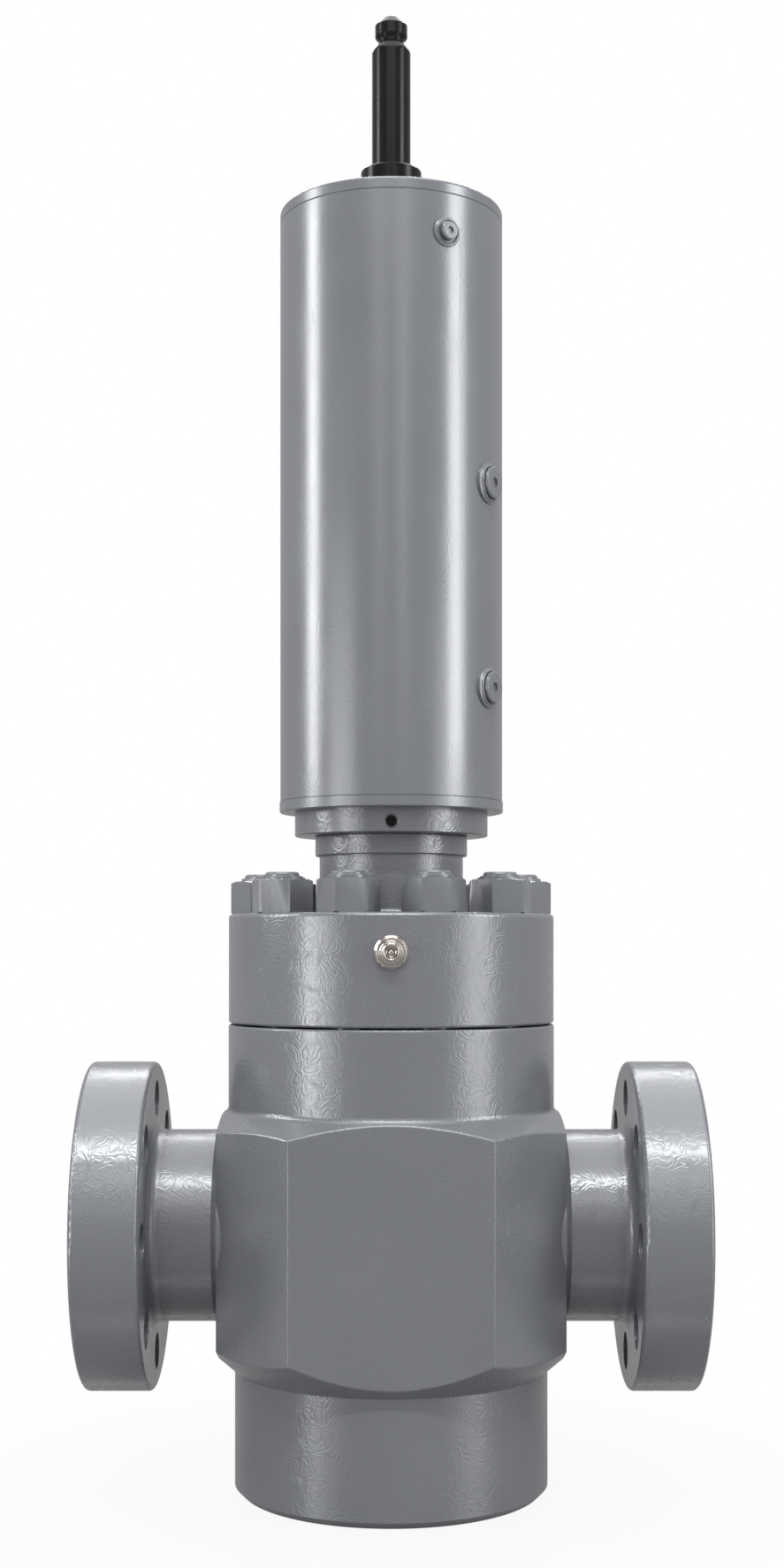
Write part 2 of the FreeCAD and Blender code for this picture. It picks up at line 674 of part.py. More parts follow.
def make_stem():
    body = new_body("stem")
    head_low = f"({GATE_TOP} - gate_slot_neck_depth - gate_slot_height + stem_slack)"
    head_top = f"({head_low} + stem_head_height)"
    shank_low = f"({GATE_TOP} + stem_slack)"
    shank_top = f"({COUPLING_LOW} + coupling_socket)"
    outline = [("0", head_low), ("stem_head_dia / 2", head_low), ("stem_head_dia / 2", head_top)]
    outline += [("stem_neck_dia / 2", head_top), ("stem_neck_dia / 2", shank_low)]
    outline += [("stem_dia / 2", shank_low), ("stem_dia / 2", shank_top), ("0", shank_top)]
    turn(body, "stem_turned", outline)


def make_bonnet():
    body = new_body("bonnet")
    disc, neck, spigot = "bonnet_dia / 2", "neck_dia / 2", "spigot_dia / 2"
    outline = [("0", BONNET_LOW), (disc, BONNET_LOW), (disc, BONNET_TOP), (neck, BONNET_TOP)]
    outline += [(neck, NECK_TOP), (spigot, NECK_TOP), (spigot, SPIGOT_TOP), ("0", SPIGOT_TOP)]
    turn(body, "bonnet_turned", outline)
    round_ring(body, "bonnet_top_edge", "bonnet_dia", BONNET_TOP, "bonnet_top_round")
    round_ring(body, "bonnet_bottom_edge", "bonnet_dia", BONNET_LOW, "bonnet_bottom_round")
    round_ring(body, "neck_fillet", "neck_dia", BONNET_TOP, "neck_round")

    # Stem passage, packing box, gland seat and open neck, bored from the top
    stem_hole = "(stem_dia / 2 + stem_hole_fit)"
    passage = [("0", BONNET_LOW), (stem_hole, BONNET_LOW), (stem_hole, PACKING_LOW)]
    passage += [("packing_bore / 2", PACKING_LOW), ("packing_bore / 2", GLAND_LOW)]
    passage += [("gland_dia / 2", GLAND_LOW), ("gland_dia / 2", GLAND_TOP), ("neck_bore / 2", GLAND_TOP)]
    passage += [("neck_bore / 2", SPIGOT_TOP), ("0", SPIGOT_TOP)]
    turn(body, "stem_passage", passage, cut=True)
    sketch = new_sketch(body, "gate_room_plan", "XY_Plane", ("0", "0", BONNET_LOW))
    draw_slot(sketch, "cavity_width", "cavity_length")
    pocket(body, "gate_room", sketch, f"{CAVITY_TOP} - {BONNET_LOW}", forward=True)
    turn(body, "bonnet_ring_groove", metal_ring_groove(BONNET_LOW, "1"), cut=True)

    # Clearance holes for the studs
    sketch = new_sketch(body, "stud_way_plan", "XY_Plane", ("0", "0", BONNET_TOP))
    draw_circle(sketch, "stud_dia + 2 * stud_hole_fit", "stud_circle / 2")
    hole = pocket(body, "stud_way", sketch, "bonnet_thick")
    repeat_round(body, "stud_ways", [hole], "stud_count")

    # Threaded hole of the grease fitting and its passage to the packing box
    shank = "(grease_shank_dia / 2 + thread_fit)"
    shank_end = "(bonnet_dia / 2 - grease_shank_length)"
    passage = "grease_passage_dia / 2"
    hole = [("packing_bore / 2", "0"), ("packing_bore / 2", passage), (shank_end, passage)]
    hole += [(shank_end, shank), (disc, shank), (disc, "0")]
    turn(body, "grease_hole", hole, cut=True, up="grease_height", azimuth="grease_azimuth", about="H_Axis")


def make_bonnet_joint():
    ring = new_body("bonnet_seal_ring")
    middle = "(body_height + bonnet_gap / 2)"
    low, top = f"({middle} - metal_ring_height / 2)", f"({middle} + metal_ring_height / 2)"
    inner = "(metal_ring_dia / 2 - metal_ring_width / 2)"
    outer = "(metal_ring_dia / 2 + metal_ring_width / 2)"
    bevel = "metal_ring_bevel"
    outline = [(f"{inner} + {bevel}", low), (f"{outer} - {bevel}", low), (outer, f"{low} + {bevel}")]
    outline += [(outer, f"{top} - {bevel}"), (f"{outer} - {bevel}", top), (f"{inner} + {bevel}", top)]
    outline += [(inner, f"{top} - {bevel}"), (inner, f"{low} + {bevel}")]
    turn(ring, "octagonal_ring", outline)

    studs = new_body("bonnet_studs")
    axis = "stud_circle / 2"
    low = "(body_height - stud_depth)"
    top = f"({BONNET_TOP} + nut_height + stud_tip)"
    half, end = "stud_dia / 2", "stud_end_chamfer"
    outline = [("0", low), (f"{half} - {end}", low), (half, f"{low} + {end}"), (half, f"{top} - {end}")]
    outline += [(f"{half} - {end}", top), ("0", top)]
    stud = turn_beside(studs, "stud", outline, axis)
    repeat_round(studs, "studs", [stud], "stud_count")

    nuts = new_body("bonnet_nuts")
    sketch = new_sketch(nuts, "nut_plan", "XY_Plane", ("0", "0", BONNET_TOP))
    draw_hexagon(sketch, "nut_flats", axis)
    blank = pad(nuts, "nut_blank", sketch, "nut_height")
    nut_top = f"({BONNET_TOP} + nut_height)"
    corner = "nut_flats"
    fall = f"({corner} - nut_flats / 2) * tan(nut_chamfer_angle)"
    chamfer = [("nut_flats / 2", nut_top), (corner, nut_top), (corner, f"{nut_top} - {fall}")]
    corners = turn_beside(nuts, "nut_corners", chamfer, axis, cut=True)
    hole = [("0", BONNET_TOP), ("stud_dia / 2 + thread_fit", BONNET_TOP)]
    hole += [("stud_dia / 2 + thread_fit", nut_top), ("0", nut_top)]
    bore = turn_beside(nuts, "nut_bore", hole, axis, cut=True)
    repeat_round(nuts, "nuts", [blank, corners, bore], "stud_count")


def turn_beside(body, name, points, across, cut=False):
    """Turn an outline about an upright axis that stands beside the stem's."""
    sketch = new_sketch(body, name + "_outline", "XZ_Plane", (across, "0", "0"))
    draw_outline(sketch, points)
    feature = body.newObject("PartDesign::Groove" if cut else "PartDesign::Revolution", name)
    feature.Profile = sketch
    feature.ReferenceAxis = (sketch, ["V_Axis"])
    feature.Angle = 360
    return feature


def make_packing():
    body = new_body("stem_packing")
    inner, outer = "(stem_dia / 2 + packing_run)", "(packing_bore / 2)"
    middle = f"(({inner} + {outer}) / 2)"
    low, top = PACKING_LOW, f"({PACKING_LOW} + packing_ring_height - packing_lip)"
    chevron = [(inner, low), (middle, f"{low} + packing_lip"), (outer, low), (outer, top)]
    chevron += [(middle, f"{top} + packing_lip"), (inner, top)]
    ring = turn(body, "chevron_ring", chevron)
    doc.recompute()
    stack = body.newObject("PartDesign::LinearPattern", "chevron_stack")
    stack.Originals = [ring]
    stack.Direction = (origin_part(body, "Z_Axis"), [""])
    stack.setExpression("Length", bound("packing_ring_height * (packing_count - 1)"))
    stack.setExpression("Occurrences", bound("packing_count"))
    body.Tip = stack

    gland = new_body("packing_gland")
    thread = "(gland_dia / 2 - thread_fit)"
    section = ring_section(thread, "(stem_dia / 2 + stem_hole_fit)", GLAND_LOW, GLAND_TOP)
    turn(gland, "gland_turned", section)
    sketch = new_sketch(gland, "key_hole_plan", "XY_Plane", ("0", "0", GLAND_TOP))
    draw_circle(sketch, "gland_key_dia", "gland_key_circle / 2")
    hole = pocket(gland, "key_hole", sketch, "gland_key_depth")
    repeat_round(gland, "key_holes", [hole], "gland_key_count")


def make_grease_fitting():
    body = new_body("grease_fitting")
    seat = "bonnet_dia / 2"
    flange_top = f"({seat} + grease_flange_height)"
    step_top = f"({flange_top} + grease_step_height)"
    nose_top = f"({step_top} + grease_nose_height)"
    mouth_floor = f"({nose_top} - grease_mouth_depth)"
    chamber_end = f"({mouth_floor} - grease_chamber_length)"
    shank_end = f"({seat} - grease_shank_length)"
    flange, bevel = "grease_flange_dia / 2", "grease_flange_chamfer"
    outline = [(shank_end, "grease_passage_dia / 2"), (shank_end, "grease_shank_dia / 2")]
    outline += [(seat, "grease_shank_dia / 2"), (seat, flange), (f"{flange_top} - {bevel}", flange)]
    outline += [(flange_top, f"{flange} - {bevel}"), (flange_top, "grease_step_dia / 2")]
    outline += [(step_top, "grease_step_dia / 2"), (step_top, "grease_nose_dia / 2")]
    outline += [(f"{nose_top} - grease_nose_chamfer", "grease_nose_dia / 2")]
    outline += [(nose_top, "grease_nose_dia / 2 - grease_nose_chamfer"), (nose_top, "grease_mouth_dia / 2")]
    outline += [(mouth_floor, "grease_seat_dia / 2")]
    outline += [(f"{mouth_floor} - grease_ball_gap", "grease_ball_dia / 2 + grease_ball_gap")]
    outline += [(chamber_end, "grease_ball_dia / 2 + grease_ball_gap")]
    outline += [(chamber_end, "grease_passage_dia / 2")]
    place = {"up": "grease_height", "azimuth": "grease_azimuth", "about": "H_Axis"}
    turn(body, "fitting_turned", outline, **place)

    ball = doc.addObject("Part::Sphere", "grease_check_ball")
    ball.Label = "grease_check_ball"
    ball.setExpression("Radius", bound("grease_ball_dia / 2"))
    drop = "sqrt((grease_ball_dia / 2)^2 - (grease_seat_dia / 2)^2)"
    reach = f"({mouth_floor} - {drop} - grease_ball_gap)"
    ball.setExpression("Placement.Base.x", bound(f"{reach} * cos(grease_azimuth)"))
    ball.setExpression("Placement.Base.y", bound(f"{reach} * sin(grease_azimuth)"))
    ball.setExpression("Placement.Base.z", bound("grease_height"))


def radial_sketch(body, name, azimuth, height, reach):
    """A sketch that faces outwards at a distance from the stem's axis."""
    shift = (f"{reach} * sin({azimuth})", height, f"{reach} * cos({azimuth})")
    return new_sketch(body, name, "YZ_Plane", shift, azimuth)


def make_actuator_foot():
    ring = new_body("lock_ring")
    inner, outer, bevel = "(spigot_dia / 2 + thread_fit)", "(lock_ring_dia / 2)", "edge_break"
    outline = [(inner, NECK_TOP), (f"{outer} - {bevel}", NECK_TOP), (outer, f"{NECK_TOP} + {bevel}")]
    outline += [(outer, f"{LOCK_RING_TOP} - {bevel}"), (f"{outer} - {bevel}", LOCK_RING_TOP)]
    outline += [(inner, LOCK_RING_TOP)]
    turn(ring, "lock_ring_turned", outline)

    adapter = new_body("actuator_adapter")
    outer = "(adapter_dia / 2)"
    outline = [(inner, LOCK_RING_TOP), (f"{outer} - {bevel}", LOCK_RING_TOP)]
    outline += [(outer, f"{LOCK_RING_TOP} + {bevel}"), (outer, ADAPTER_TOP), (inner, ADAPTER_TOP)]
    turn(adapter, "adapter_turned", outline)
    mouth_floor = f"({outer} - (set_screw_mouth - set_screw_hole) / 2)"
    hole = [("spigot_dia / 2", "0"), ("spigot_dia / 2", "set_screw_hole / 2")]
    hole += [(mouth_floor, "set_screw_hole / 2"), (outer, "set_screw_mouth / 2"), (outer, "0")]
    place = {"up": f"({ADAPTER_TOP} - set_screw_drop)", "azimuth": "grease_azimuth", "about": "H_Axis"}
    set_hole = turn(adapter, "set_screw_hole", hole, cut=True, **place)
    repeat_round(adapter, "set_screw_holes", [set_hole], "set_screw_count")
    sketch = new_sketch(adapter, "screw_thread_plan", "XY_Plane", ("0", "0", ADAPTER_TOP))
    draw_circle(sketch, "adapter_screw_dia + 2 * thread_fit", *screw_centre())
    thread = pocket(adapter, "screw_thread", sketch, screw_grip())
    repeat_round(adapter, "screw_threads", [thread], "adapter_screw_count")

    screws = new_body("adapter_set_screws")
    tip, face = "(spigot_dia / 2 + thread_fit)", f"({outer} - set_screw_sink)"
    outline = [(tip, "0"), (tip, "set_screw_dia / 2"), (face, "set_screw_dia / 2"), (face, "0")]
    screw = turn(screws, "set_screw", outline, **place)
    sketch = radial_sketch(screws, "set_socket_plan", "grease_azimuth", place["up"], face)
    draw_hexagon(sketch, "set_screw_socket")
    socket = pocket(screws, "set_socket", sketch, "set_screw_socket_depth")
    repeat_round(screws, "set_screws", [screw, socket], "set_screw_count")


def screw_centre():
    return (
        "adapter_screw_circle / 2 * cos(adapter_screw_start)",
        "adapter_screw_circle / 2 * sin(adapter_screw_start)",
    )


def screw_grip():
    """How far an adapter screw reaches below the adapter's top."""
    return "(adapter_screw_length + adapter_screw_head_height - lower_head_rim - lower_head_spigot)"


def make_lower_head():
    head = new_body("lower_head")
    rim, spigot = "(lower_head_dia / 2)", "(housing_bore / 2 - spigot_fit)"
    seal_low, seal_top = head_seal_levels()
    groove = f"({spigot} - static_seal_depth)"
    recess = f"({HEAD_TOP} - stop_recess)"
    stop = "(stop_tube_dia / 2 + spigot_fit)"
    outline = [("neck_bore / 2", ADAPTER_TOP), (f"{rim} - edge_break", ADAPTER_TOP)]
    outline += [(rim, f"{ADAPTER_TOP} + edge_break"), (rim, HEAD_RIM_TOP), (spigot, HEAD_RIM_TOP)]
    outline += [(spigot, seal_low), (groove, seal_low), (groove, seal_top), (spigot, seal_top)]
    outline += [(spigot, HEAD_TOP), (stop, HEAD_TOP), (stop, recess), ("neck_bore / 2", recess)]
    turn(head, "lower_head_turned", outline)
    sketch = new_sketch(head, "screw_way_plan", "XY_Plane", ("0", "0", HEAD_TOP))
    draw_circle(sketch, "adapter_screw_dia + 2 * thread_fit", *screw_centre())
    way = pocket(head, "screw_way", sketch, "lower_head_rim + lower_head_spigot")
    sketch = new_sketch(head, "screw_sink_plan", "XY_Plane", ("0", "0", HEAD_TOP))
    draw_circle(sketch, "adapter_screw_head_dia + 2 * spigot_fit", *screw_centre())
    sink = pocket(head, "screw_sink", sketch, "adapter_screw_head_height")
    repeat_round(head, "screw_ways", [way, sink], "adapter_screw_count")

    seal = new_body("lower_head_seal")
    turn(seal, "head_seal_ring", ring_section("(housing_bore / 2)", groove, seal_low, seal_top))

    screws = new_body("adapter_screws")
    low = f"({ADAPTER_TOP} - {screw_grip()})"
    neck = f"({HEAD_TOP} - adapter_screw_head_height)"
    sketch = new_sketch(screws, "screw_shank_plan", "XY_Plane", ("0", "0", low))
    draw_circle(sketch, "adapter_screw_dia", *screw_centre())
    shank = pad(screws, "screw_shank", sketch, "adapter_screw_length")
    sketch = new_sketch(screws, "screw_head_plan", "XY_Plane", ("0", "0", neck))
    draw_circle(sketch, "adapter_screw_head_dia", *screw_centre())
    cap = pad(screws, "screw_head", sketch, "adapter_screw_head_height")
    sketch = new_sketch(screws, "screw_socket_plan", "XY_Plane", ("0", "0", HEAD_TOP))
    draw_hexagon(sketch, "adapter_screw_socket", *screw_centre())
    socket = pocket(screws, "screw_socket", sketch, "adapter_screw_socket_depth")
    repeat_round(screws, "screws", [shank, cap, socket], "adapter_screw_count")


def head_seal_levels():
    middle = f"(({HEAD_RIM_TOP} + {HEAD_TOP}) / 2)"
    return f"({middle} - static_seal_width / 2)", f"({middle} + static_seal_width / 2)"


# Each port: name, height, azimuth and the first word of its sizes
PORTS = [
    ("vent", VENT_HEIGHT, "vent_azimuth", "vent"),
    ("lower_port", PORT_HEIGHTS[0], "port_azimuth", "port"),
    ("upper_port", PORT_HEIGHTS[1], "port_azimuth", "port"),
]


def make_housing():
    body = new_body("spring_housing")
    outer, inner, bevel = "(housing_dia / 2)", "(housing_bore / 2)", "seam_chamfer"
    outline = [(inner, HEAD_RIM_TOP), (f"{outer} - {bevel}", HEAD_RIM_TOP)]
    outline += [(outer, f"{HEAD_RIM_TOP} + {bevel}"), (outer, f"{HOUSING_TOP} - {bevel}")]
    outline += [(f"{outer} - {bevel}", HOUSING_TOP), (inner, HOUSING_TOP)]
    turn(body, "barrel", outline)
    for name, height, azimuth, kind in PORTS:
        hole_radius = f"({kind}_boss_dia / 2 + boss_fit)"
        hole = [("0", "0"), ("0", hole_radius), ("housing_dia", hole_radius), ("housing_dia", "0")]
        turn(body, f"{name}_hole", hole, cut=True, up=height, azimuth=azimuth, about="H_Axis")


def make_port_bosses():
    body = new_body("port_bosses")
    for name, height, azimuth, kind in PORTS:
        wall = "(housing_bore / 2 + boss_fit)"
        face = f"(housing_dia / 2 + {kind}_boss_reach)"
        outer, step = f"({kind}_boss_dia / 2)", "boss_step"
        recess = f"({kind}_head_dia / 2 + {step})"
        thread = f"({kind}_thread_dia / 2 + thread_fit)"
        outline = [(wall, thread), (wall, outer), (f"{face} - {step} - boss_bevel", outer)]
        outline += [(f"{face} - {step}", f"{outer} - {step}"), (face, f"{outer} - {step}")]
        outline += [(face, recess), (f"{face} - {step}", recess), (f"{face} - {step}", thread)]
        turn(body, f"{name}_boss", outline, up=height, azimuth=azimuth, about="H_Axis")


def make_port_plugs():
    vent = new_body("vent_plug")
    large = new_body("port_plugs")
    for name, height, azimuth, kind in PORTS:
        body = vent if kind == "vent" else large
        seat = f"(housing_dia / 2 + {kind}_boss_reach - boss_step)"
        face = f"({seat} + boss_step + {kind}_head_height)"
        tip = "(housing_bore / 2 + plug_tip_gap)"
        half, thread, bevel = f"({kind}_head_dia / 2)", f"({kind}_thread_dia / 2)", "plug_edge_round"
        outline = [(tip, "0"), (tip, thread), (seat, thread), (seat, half), (f"{face} - {bevel}", half)]
        outline += [(face, f"{half} - {bevel}"), (face, "0")]
        turn(body, f"{name}_plug", outline, up=height, azimuth=azimuth, about="H_Axis")
        sketch = radial_sketch(body, f"{name}_socket_plan", azimuth, height, face)
        draw_hexagon(sketch, f"{kind}_socket")
        pocket(body, f"{name}_socket", sketch, "plug_socket_depth")


def make_top_cap():
    cap = new_body("top_cap")
    rim, spigot = "(housing_dia / 2)", "(housing_bore / 2 - spigot_fit)"
    hole = "(gland_thread_dia / 2 + thread_fit)"
    seal_low, seal_top = cap_seal_levels()
    groove = f"({spigot} - static_seal_depth)"
    outline = [(hole, CAP_LOW), (spigot, CAP_LOW), (spigot, seal_low), (groove, seal_low)]
    outline += [(groove, seal_top), (spigot, seal_top), (spigot, HOUSING_TOP)]
    outline += [(f"{rim} - seam_chamfer", HOUSING_TOP), (rim, f"{HOUSING_TOP} + seam_chamfer")]
    outline += [(rim, CAP_TOP), (hole, CAP_TOP)]
    turn(cap, "cap_turned", outline)
    round_ring(cap, "cap_edge", "housing_dia", CAP_TOP, "cap_round")

    seal = new_body("top_cap_seal")
    turn(seal, "cap_seal_ring", ring_section("(housing_bore / 2)", groove, seal_low, seal_top))


def cap_seal_levels():
    middle = f"(({CAP_LOW} + {HOUSING_TOP}) / 2)"
    return f"({middle} - static_seal_width / 2)", f"({middle} + static_seal_width / 2)"


def make_shaft_gland():
    gland = new_body("shaft_gland")
    collar, thread, bevel = "(gland_collar_dia / 2)", "(gland_thread_dia / 2)", "gland_collar_chamfer"
    hole = "(shaft_dia / 2 + shaft_hole_fit)"
    bushing = "(bushing_dia / 2 + spigot_fit)"
    bushing_top = f"({CAP_LOW} + bushing_height)"
    seal_top = f"({COLLAR_TOP} - shaft_seal_drop)"
    seal_low = f"({seal_top} - shaft_seal_height)"
    groove = f"({hole} + shaft_seal_depth)"
    outline = [(bushing, CAP_LOW), (thread, CAP_LOW), (thread, CAP_TOP), (collar, CAP_TOP)]
    outline += [(collar, f"{COLLAR_TOP} - {bevel}"), (f"{collar} - {bevel}", COLLAR_TOP), (hole, COLLAR_TOP)]
    outline += [(hole, seal_top), (groove, seal_top), (groove, seal_low), (hole, seal_low)]
    outline += [(hole, bushing_top), (bushing, bushing_top)]
    turn(gland, "gland_collar", outline)

    bush = new_body("shaft_bushing")
    run = "(shaft_dia / 2 + shaft_run)"
    turn(bush, "bushing_ring", ring_section("(bushing_dia / 2)", run, CAP_LOW, bushing_top))

    seal = new_body("shaft_seal")
    turn(seal, "shaft_seal_ring", ring_section(groove, run, seal_low, seal_top))


def make_top_shaft():
    body = new_body("top_shaft")
    head_top, radius = SHAFT_TOP, "(shaft_dia / 2)"
    head, neck, cone = "(shaft_head_dia / 2)", "(shaft_neck_dia / 2)", "(shaft_cone_dia / 2)"
    chamfer_low = f"({head_top} - shaft_head_chamfer)"
    head_low = f"({chamfer_low} - shaft_head_height)"
    neck_top = f"({head_low} - shaft_head_taper)"
    neck_low = f"({neck_top} - shaft_neck_length)"
    cone_low = f"({neck_low} - shaft_cone_height)"
    shoulder = f"({cone_low} - shaft_shoulder_height)"
    spigot, spigot_low = "(shaft_spigot_dia / 2)", f"({PISTON_LOW} - shaft_spigot_reach)"
    mark = f"({SHAFT_TOP} - shaft_mark_drop)"
    scored = f"({radius} - shaft_mark_depth)"
    outline = [("0", spigot_low), (spigot, spigot_low), (spigot, PISTON_TOP), (radius, PISTON_TOP)]
    outline += [(radius, f"{mark} - shaft_mark_width"), (scored, f"{mark} - shaft_mark_width")]
    outline += [(scored, mark), (radius, mark), (radius, shoulder), (cone, cone_low), (neck, neck_low)]
    outline += [(neck, neck_top), (head, head_low), (head, chamfer_low)]
    outline += [(f"{head} - shaft_head_chamfer", head_top), ("0", head_top)]
    turn(body, "shaft_turned", outline)


def make_piston():
    piston = new_body("piston")
    outer, bevel = "(housing_bore / 2 - piston_fit)", "piston_chamfer"
    hole = "(shaft_spigot_dia / 2 + thread_fit)"
    seal_floor = f"({outer} - piston_seal_depth)"
    wear_floor = f"({outer} - wear_ring_depth)"
    lower, upper = piston_seal_levels()
    wear_low, wear_top = wear_ring_levels()
    outline = [(hole, PISTON_LOW), (f"{outer} - {bevel}", PISTON_LOW), (outer, f"{PISTON_LOW} + {bevel}")]
    for low, top, floor in ((*lower, seal_floor), (wear_low, wear_top, wear_floor), (*upper, seal_floor)):
        outline += [(outer, low), (floor, low), (floor, top), (outer, top)]
    outline += [(outer, f"{PISTON_TOP} - {bevel}"), (f"{outer} - {bevel}", PISTON_TOP), (hole, PISTON_TOP)]
    turn(piston, "piston_turned", outline)

    run = "(housing_bore / 2 - piston_run)"
    seals = new_body("piston_seals")
    for name, (low, top) in (("lower", lower), ("upper", upper)):
        turn(seals, f"{name}_piston_seal", ring_section(run, seal_floor, low, top))
    wear = new_body("piston_wear_ring")
    turn(wear, "wear_ring_turned", ring_section(run, wear_floor, wear_low, wear_top))


def piston_seal_levels():
    lower = f"({PISTON_LOW} + piston_seal_inset)"
    upper = f"({PISTON_TOP} - piston_seal_inset - piston_seal_height)"
    return [(low, f"({low} + piston_seal_height)") for low in (lower, upper)]


def wear_ring_levels():
    middle = f"(({PISTON_LOW} + {PISTON_TOP}) / 2)"
    return f"({middle} - wear_ring_height / 2)", f"({middle} + wear_ring_height / 2)"


def make_rod_and_coupling():
    rod = new_body("piston_rod")
    low = f"({COUPLING_TOP} - coupling_socket)"
    hole_floor = f"({PISTON_LOW} - shaft_spigot_reach)"
    hole = "(shaft_spigot_dia / 2 + thread_fit)"
    outline = [("0", low), ("rod_dia / 2", low), ("rod_dia / 2", PISTON_LOW), (hole, PISTON_LOW)]
    outline += [(hole, hole_floor), ("0", hole_floor)]
    turn(rod, "rod_turned", outline)

    coupling = new_body("stem_coupling")
    outer, bevel = "(coupling_dia / 2)", "coupling_chamfer"
    stem, top_hole = "(stem_dia / 2 + thread_fit)", "(rod_dia / 2 + thread_fit)"
    stem_end = f"({COUPLING_LOW} + coupling_socket)"
    outline = [(stem, COUPLING_LOW), (f"{outer} - {bevel}", COUPLING_LOW)]
    outline += [(outer, f"{COUPLING_LOW} + {bevel}"), (outer, f"{COUPLING_TOP} - {bevel}")]
    outline += [(f"{outer} - {bevel}", COUPLING_TOP), (top_hole, COUPLING_TOP), (top_hole, low)]
    outline += [("0", low), ("0", stem_end), (stem, stem_end)]
    turn(coupling, "coupling_turned", outline)


def make_spring_parts():
    tube = new_body("stop_tube")
    low = f"({HEAD_TOP} - stop_recess)"
    top = f"({PISTON_LOW} - stroke - stop_clearance)"
    turn(tube, "stop_tube_turned", ring_section("(stop_tube_dia / 2)", "(stop_tube_bore / 2)", low, top))

    seat = new_body("lower_spring_seat")
    section = ring_section("(spring_seat_dia / 2)", "(spring_seat_bore / 2)", HEAD_TOP, SPRING_LOW)
    turn(seat, "spring_seat_turned", section)

    # Wire wound past both ends, which are then ground flat
    wound = new_body("return_spring")
    sketch = new_sketch(wound, "wire_section", "XZ_Plane")
    draw_circle(sketch, "spring_wire", "spring_dia / 2", SPRING_LOW)
    coil = wound.newObject("PartDesign::AdditiveHelix", "wire")
    coil.Profile = sketch
    coil.ReferenceAxis = (sketch, ["V_Axis"])
    coil.Mode = "height-turns-angle"
    coil.setExpression("Height", bound(f"{PISTON_LOW} - {SPRING_LOW}"))
    coil.setExpression("Turns", bound("spring_turns"))
    for name, level, forward in (("ground_low", SPRING_LOW, False), ("ground_top", PISTON_LOW, True)):
        sketch = new_sketch(wound, name + "_plan", "XY_Plane", ("0", "0", level))
        draw_circle(sketch, "2 * spring_dia")
        pocket(wound, name, sketch, "2 * spring_wire", forward)


def check_document():
    """Stop on a failed feature, or on a cut that takes nothing away."""
    doc.recompute()
    for item in doc.Objects:
        if {"Invalid", "Error"} & set(item.State):
            raise RuntimeError(f"{item.Name}: {item.State} {item.getStatusString()}")
        if item.TypeId in ("PartDesign::Pocket", "PartDesign::Groove"):
            if item.BaseFeature.Shape.Volume - item.Shape.Volume < TOLERANCE:
                raise RuntimeError(f"{item.Name} cuts nothing")


def write_pieces():
    os.makedirs("parts", exist_ok=True)
    pieces = [item for item in doc.Objects if item.TypeId in ("PartDesign::Body", "Part::Sphere")]
    for piece in pieces:
        if piece.Shape.isNull() or not piece.Shape.isValid():
            raise RuntimeError(f"{piece.Label} has no valid shape")
    for piece in pieces:
        piece.Shape.exportStep(f"parts/{piece.Label}.step")


make_valve_body()
make_seats()
make_gate_guides()
make_gate()
make_stem()
make_bonnet()
make_bonnet_joint()
make_packing()
make_grease_fitting()
make_actuator_foot()
make_lower_head()
make_housing()
make_port_bosses()
make_port_plugs()
make_top_cap()
make_shaft_gland()
make_top_shaft()
make_piston()
make_rod_and_coupling()
make_spring_parts()
check_document()
write_pieces()
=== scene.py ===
import math

import bpy
from mathutils import Euler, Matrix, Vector


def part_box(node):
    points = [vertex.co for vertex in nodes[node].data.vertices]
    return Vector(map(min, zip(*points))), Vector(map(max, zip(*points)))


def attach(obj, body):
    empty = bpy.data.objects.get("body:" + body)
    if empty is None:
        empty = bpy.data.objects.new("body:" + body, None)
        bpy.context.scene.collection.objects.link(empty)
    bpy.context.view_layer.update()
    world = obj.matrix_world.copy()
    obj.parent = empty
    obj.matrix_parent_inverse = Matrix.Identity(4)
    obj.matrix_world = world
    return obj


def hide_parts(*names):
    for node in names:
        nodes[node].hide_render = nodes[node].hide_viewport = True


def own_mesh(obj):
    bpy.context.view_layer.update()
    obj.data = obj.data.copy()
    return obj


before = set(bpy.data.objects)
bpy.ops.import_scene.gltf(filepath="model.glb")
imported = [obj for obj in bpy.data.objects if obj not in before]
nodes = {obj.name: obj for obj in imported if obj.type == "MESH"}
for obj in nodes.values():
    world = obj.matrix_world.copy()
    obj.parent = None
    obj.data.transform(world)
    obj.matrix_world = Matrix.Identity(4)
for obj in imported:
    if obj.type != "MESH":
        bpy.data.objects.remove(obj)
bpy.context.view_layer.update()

# The photograph's frame, its horizon and the stem's axis, in pixels
PHOTO_WIDTH = 887
PHOTO_HEIGHT = 1774
HORIZON = 1070
AXIS_COLUMN = 442.65
FOCAL = 2307
# Where the camera stands, in metres
CAMERA_DISTANCE = 1.95
CAMERA_HEIGHT = 0.517
# How tall the camera's sensor is, in millimetres
SENSOR = 36.0
# How much of the white background metal reflects
MIRRORED_WHITE = 0.25
# From the stem's axis to each bonnet stud, in metres, and how many studs there are
STUD_REACH = 0.124
STUD_COUNT = 10
# How far a bump stands up from a surface, in metres
BUMP_DEPTH = 0.0004


def level(node, end):
    """The lowest (end 0) or highest (end 1) level of a CAD node, in millimetres."""
    return round(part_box(node)[end][2] * 1000, 2)


def reach(node):
    """How far a round CAD node reaches from the stem's axis, in millimetres."""
    return round(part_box(node)[1][0] * 1000, 2)


def middle_height(node):
    """The height of a CAD node's middle, in metres."""
    return round((level(node, 0) + level(node, 1)) / 2, 1) / 1000


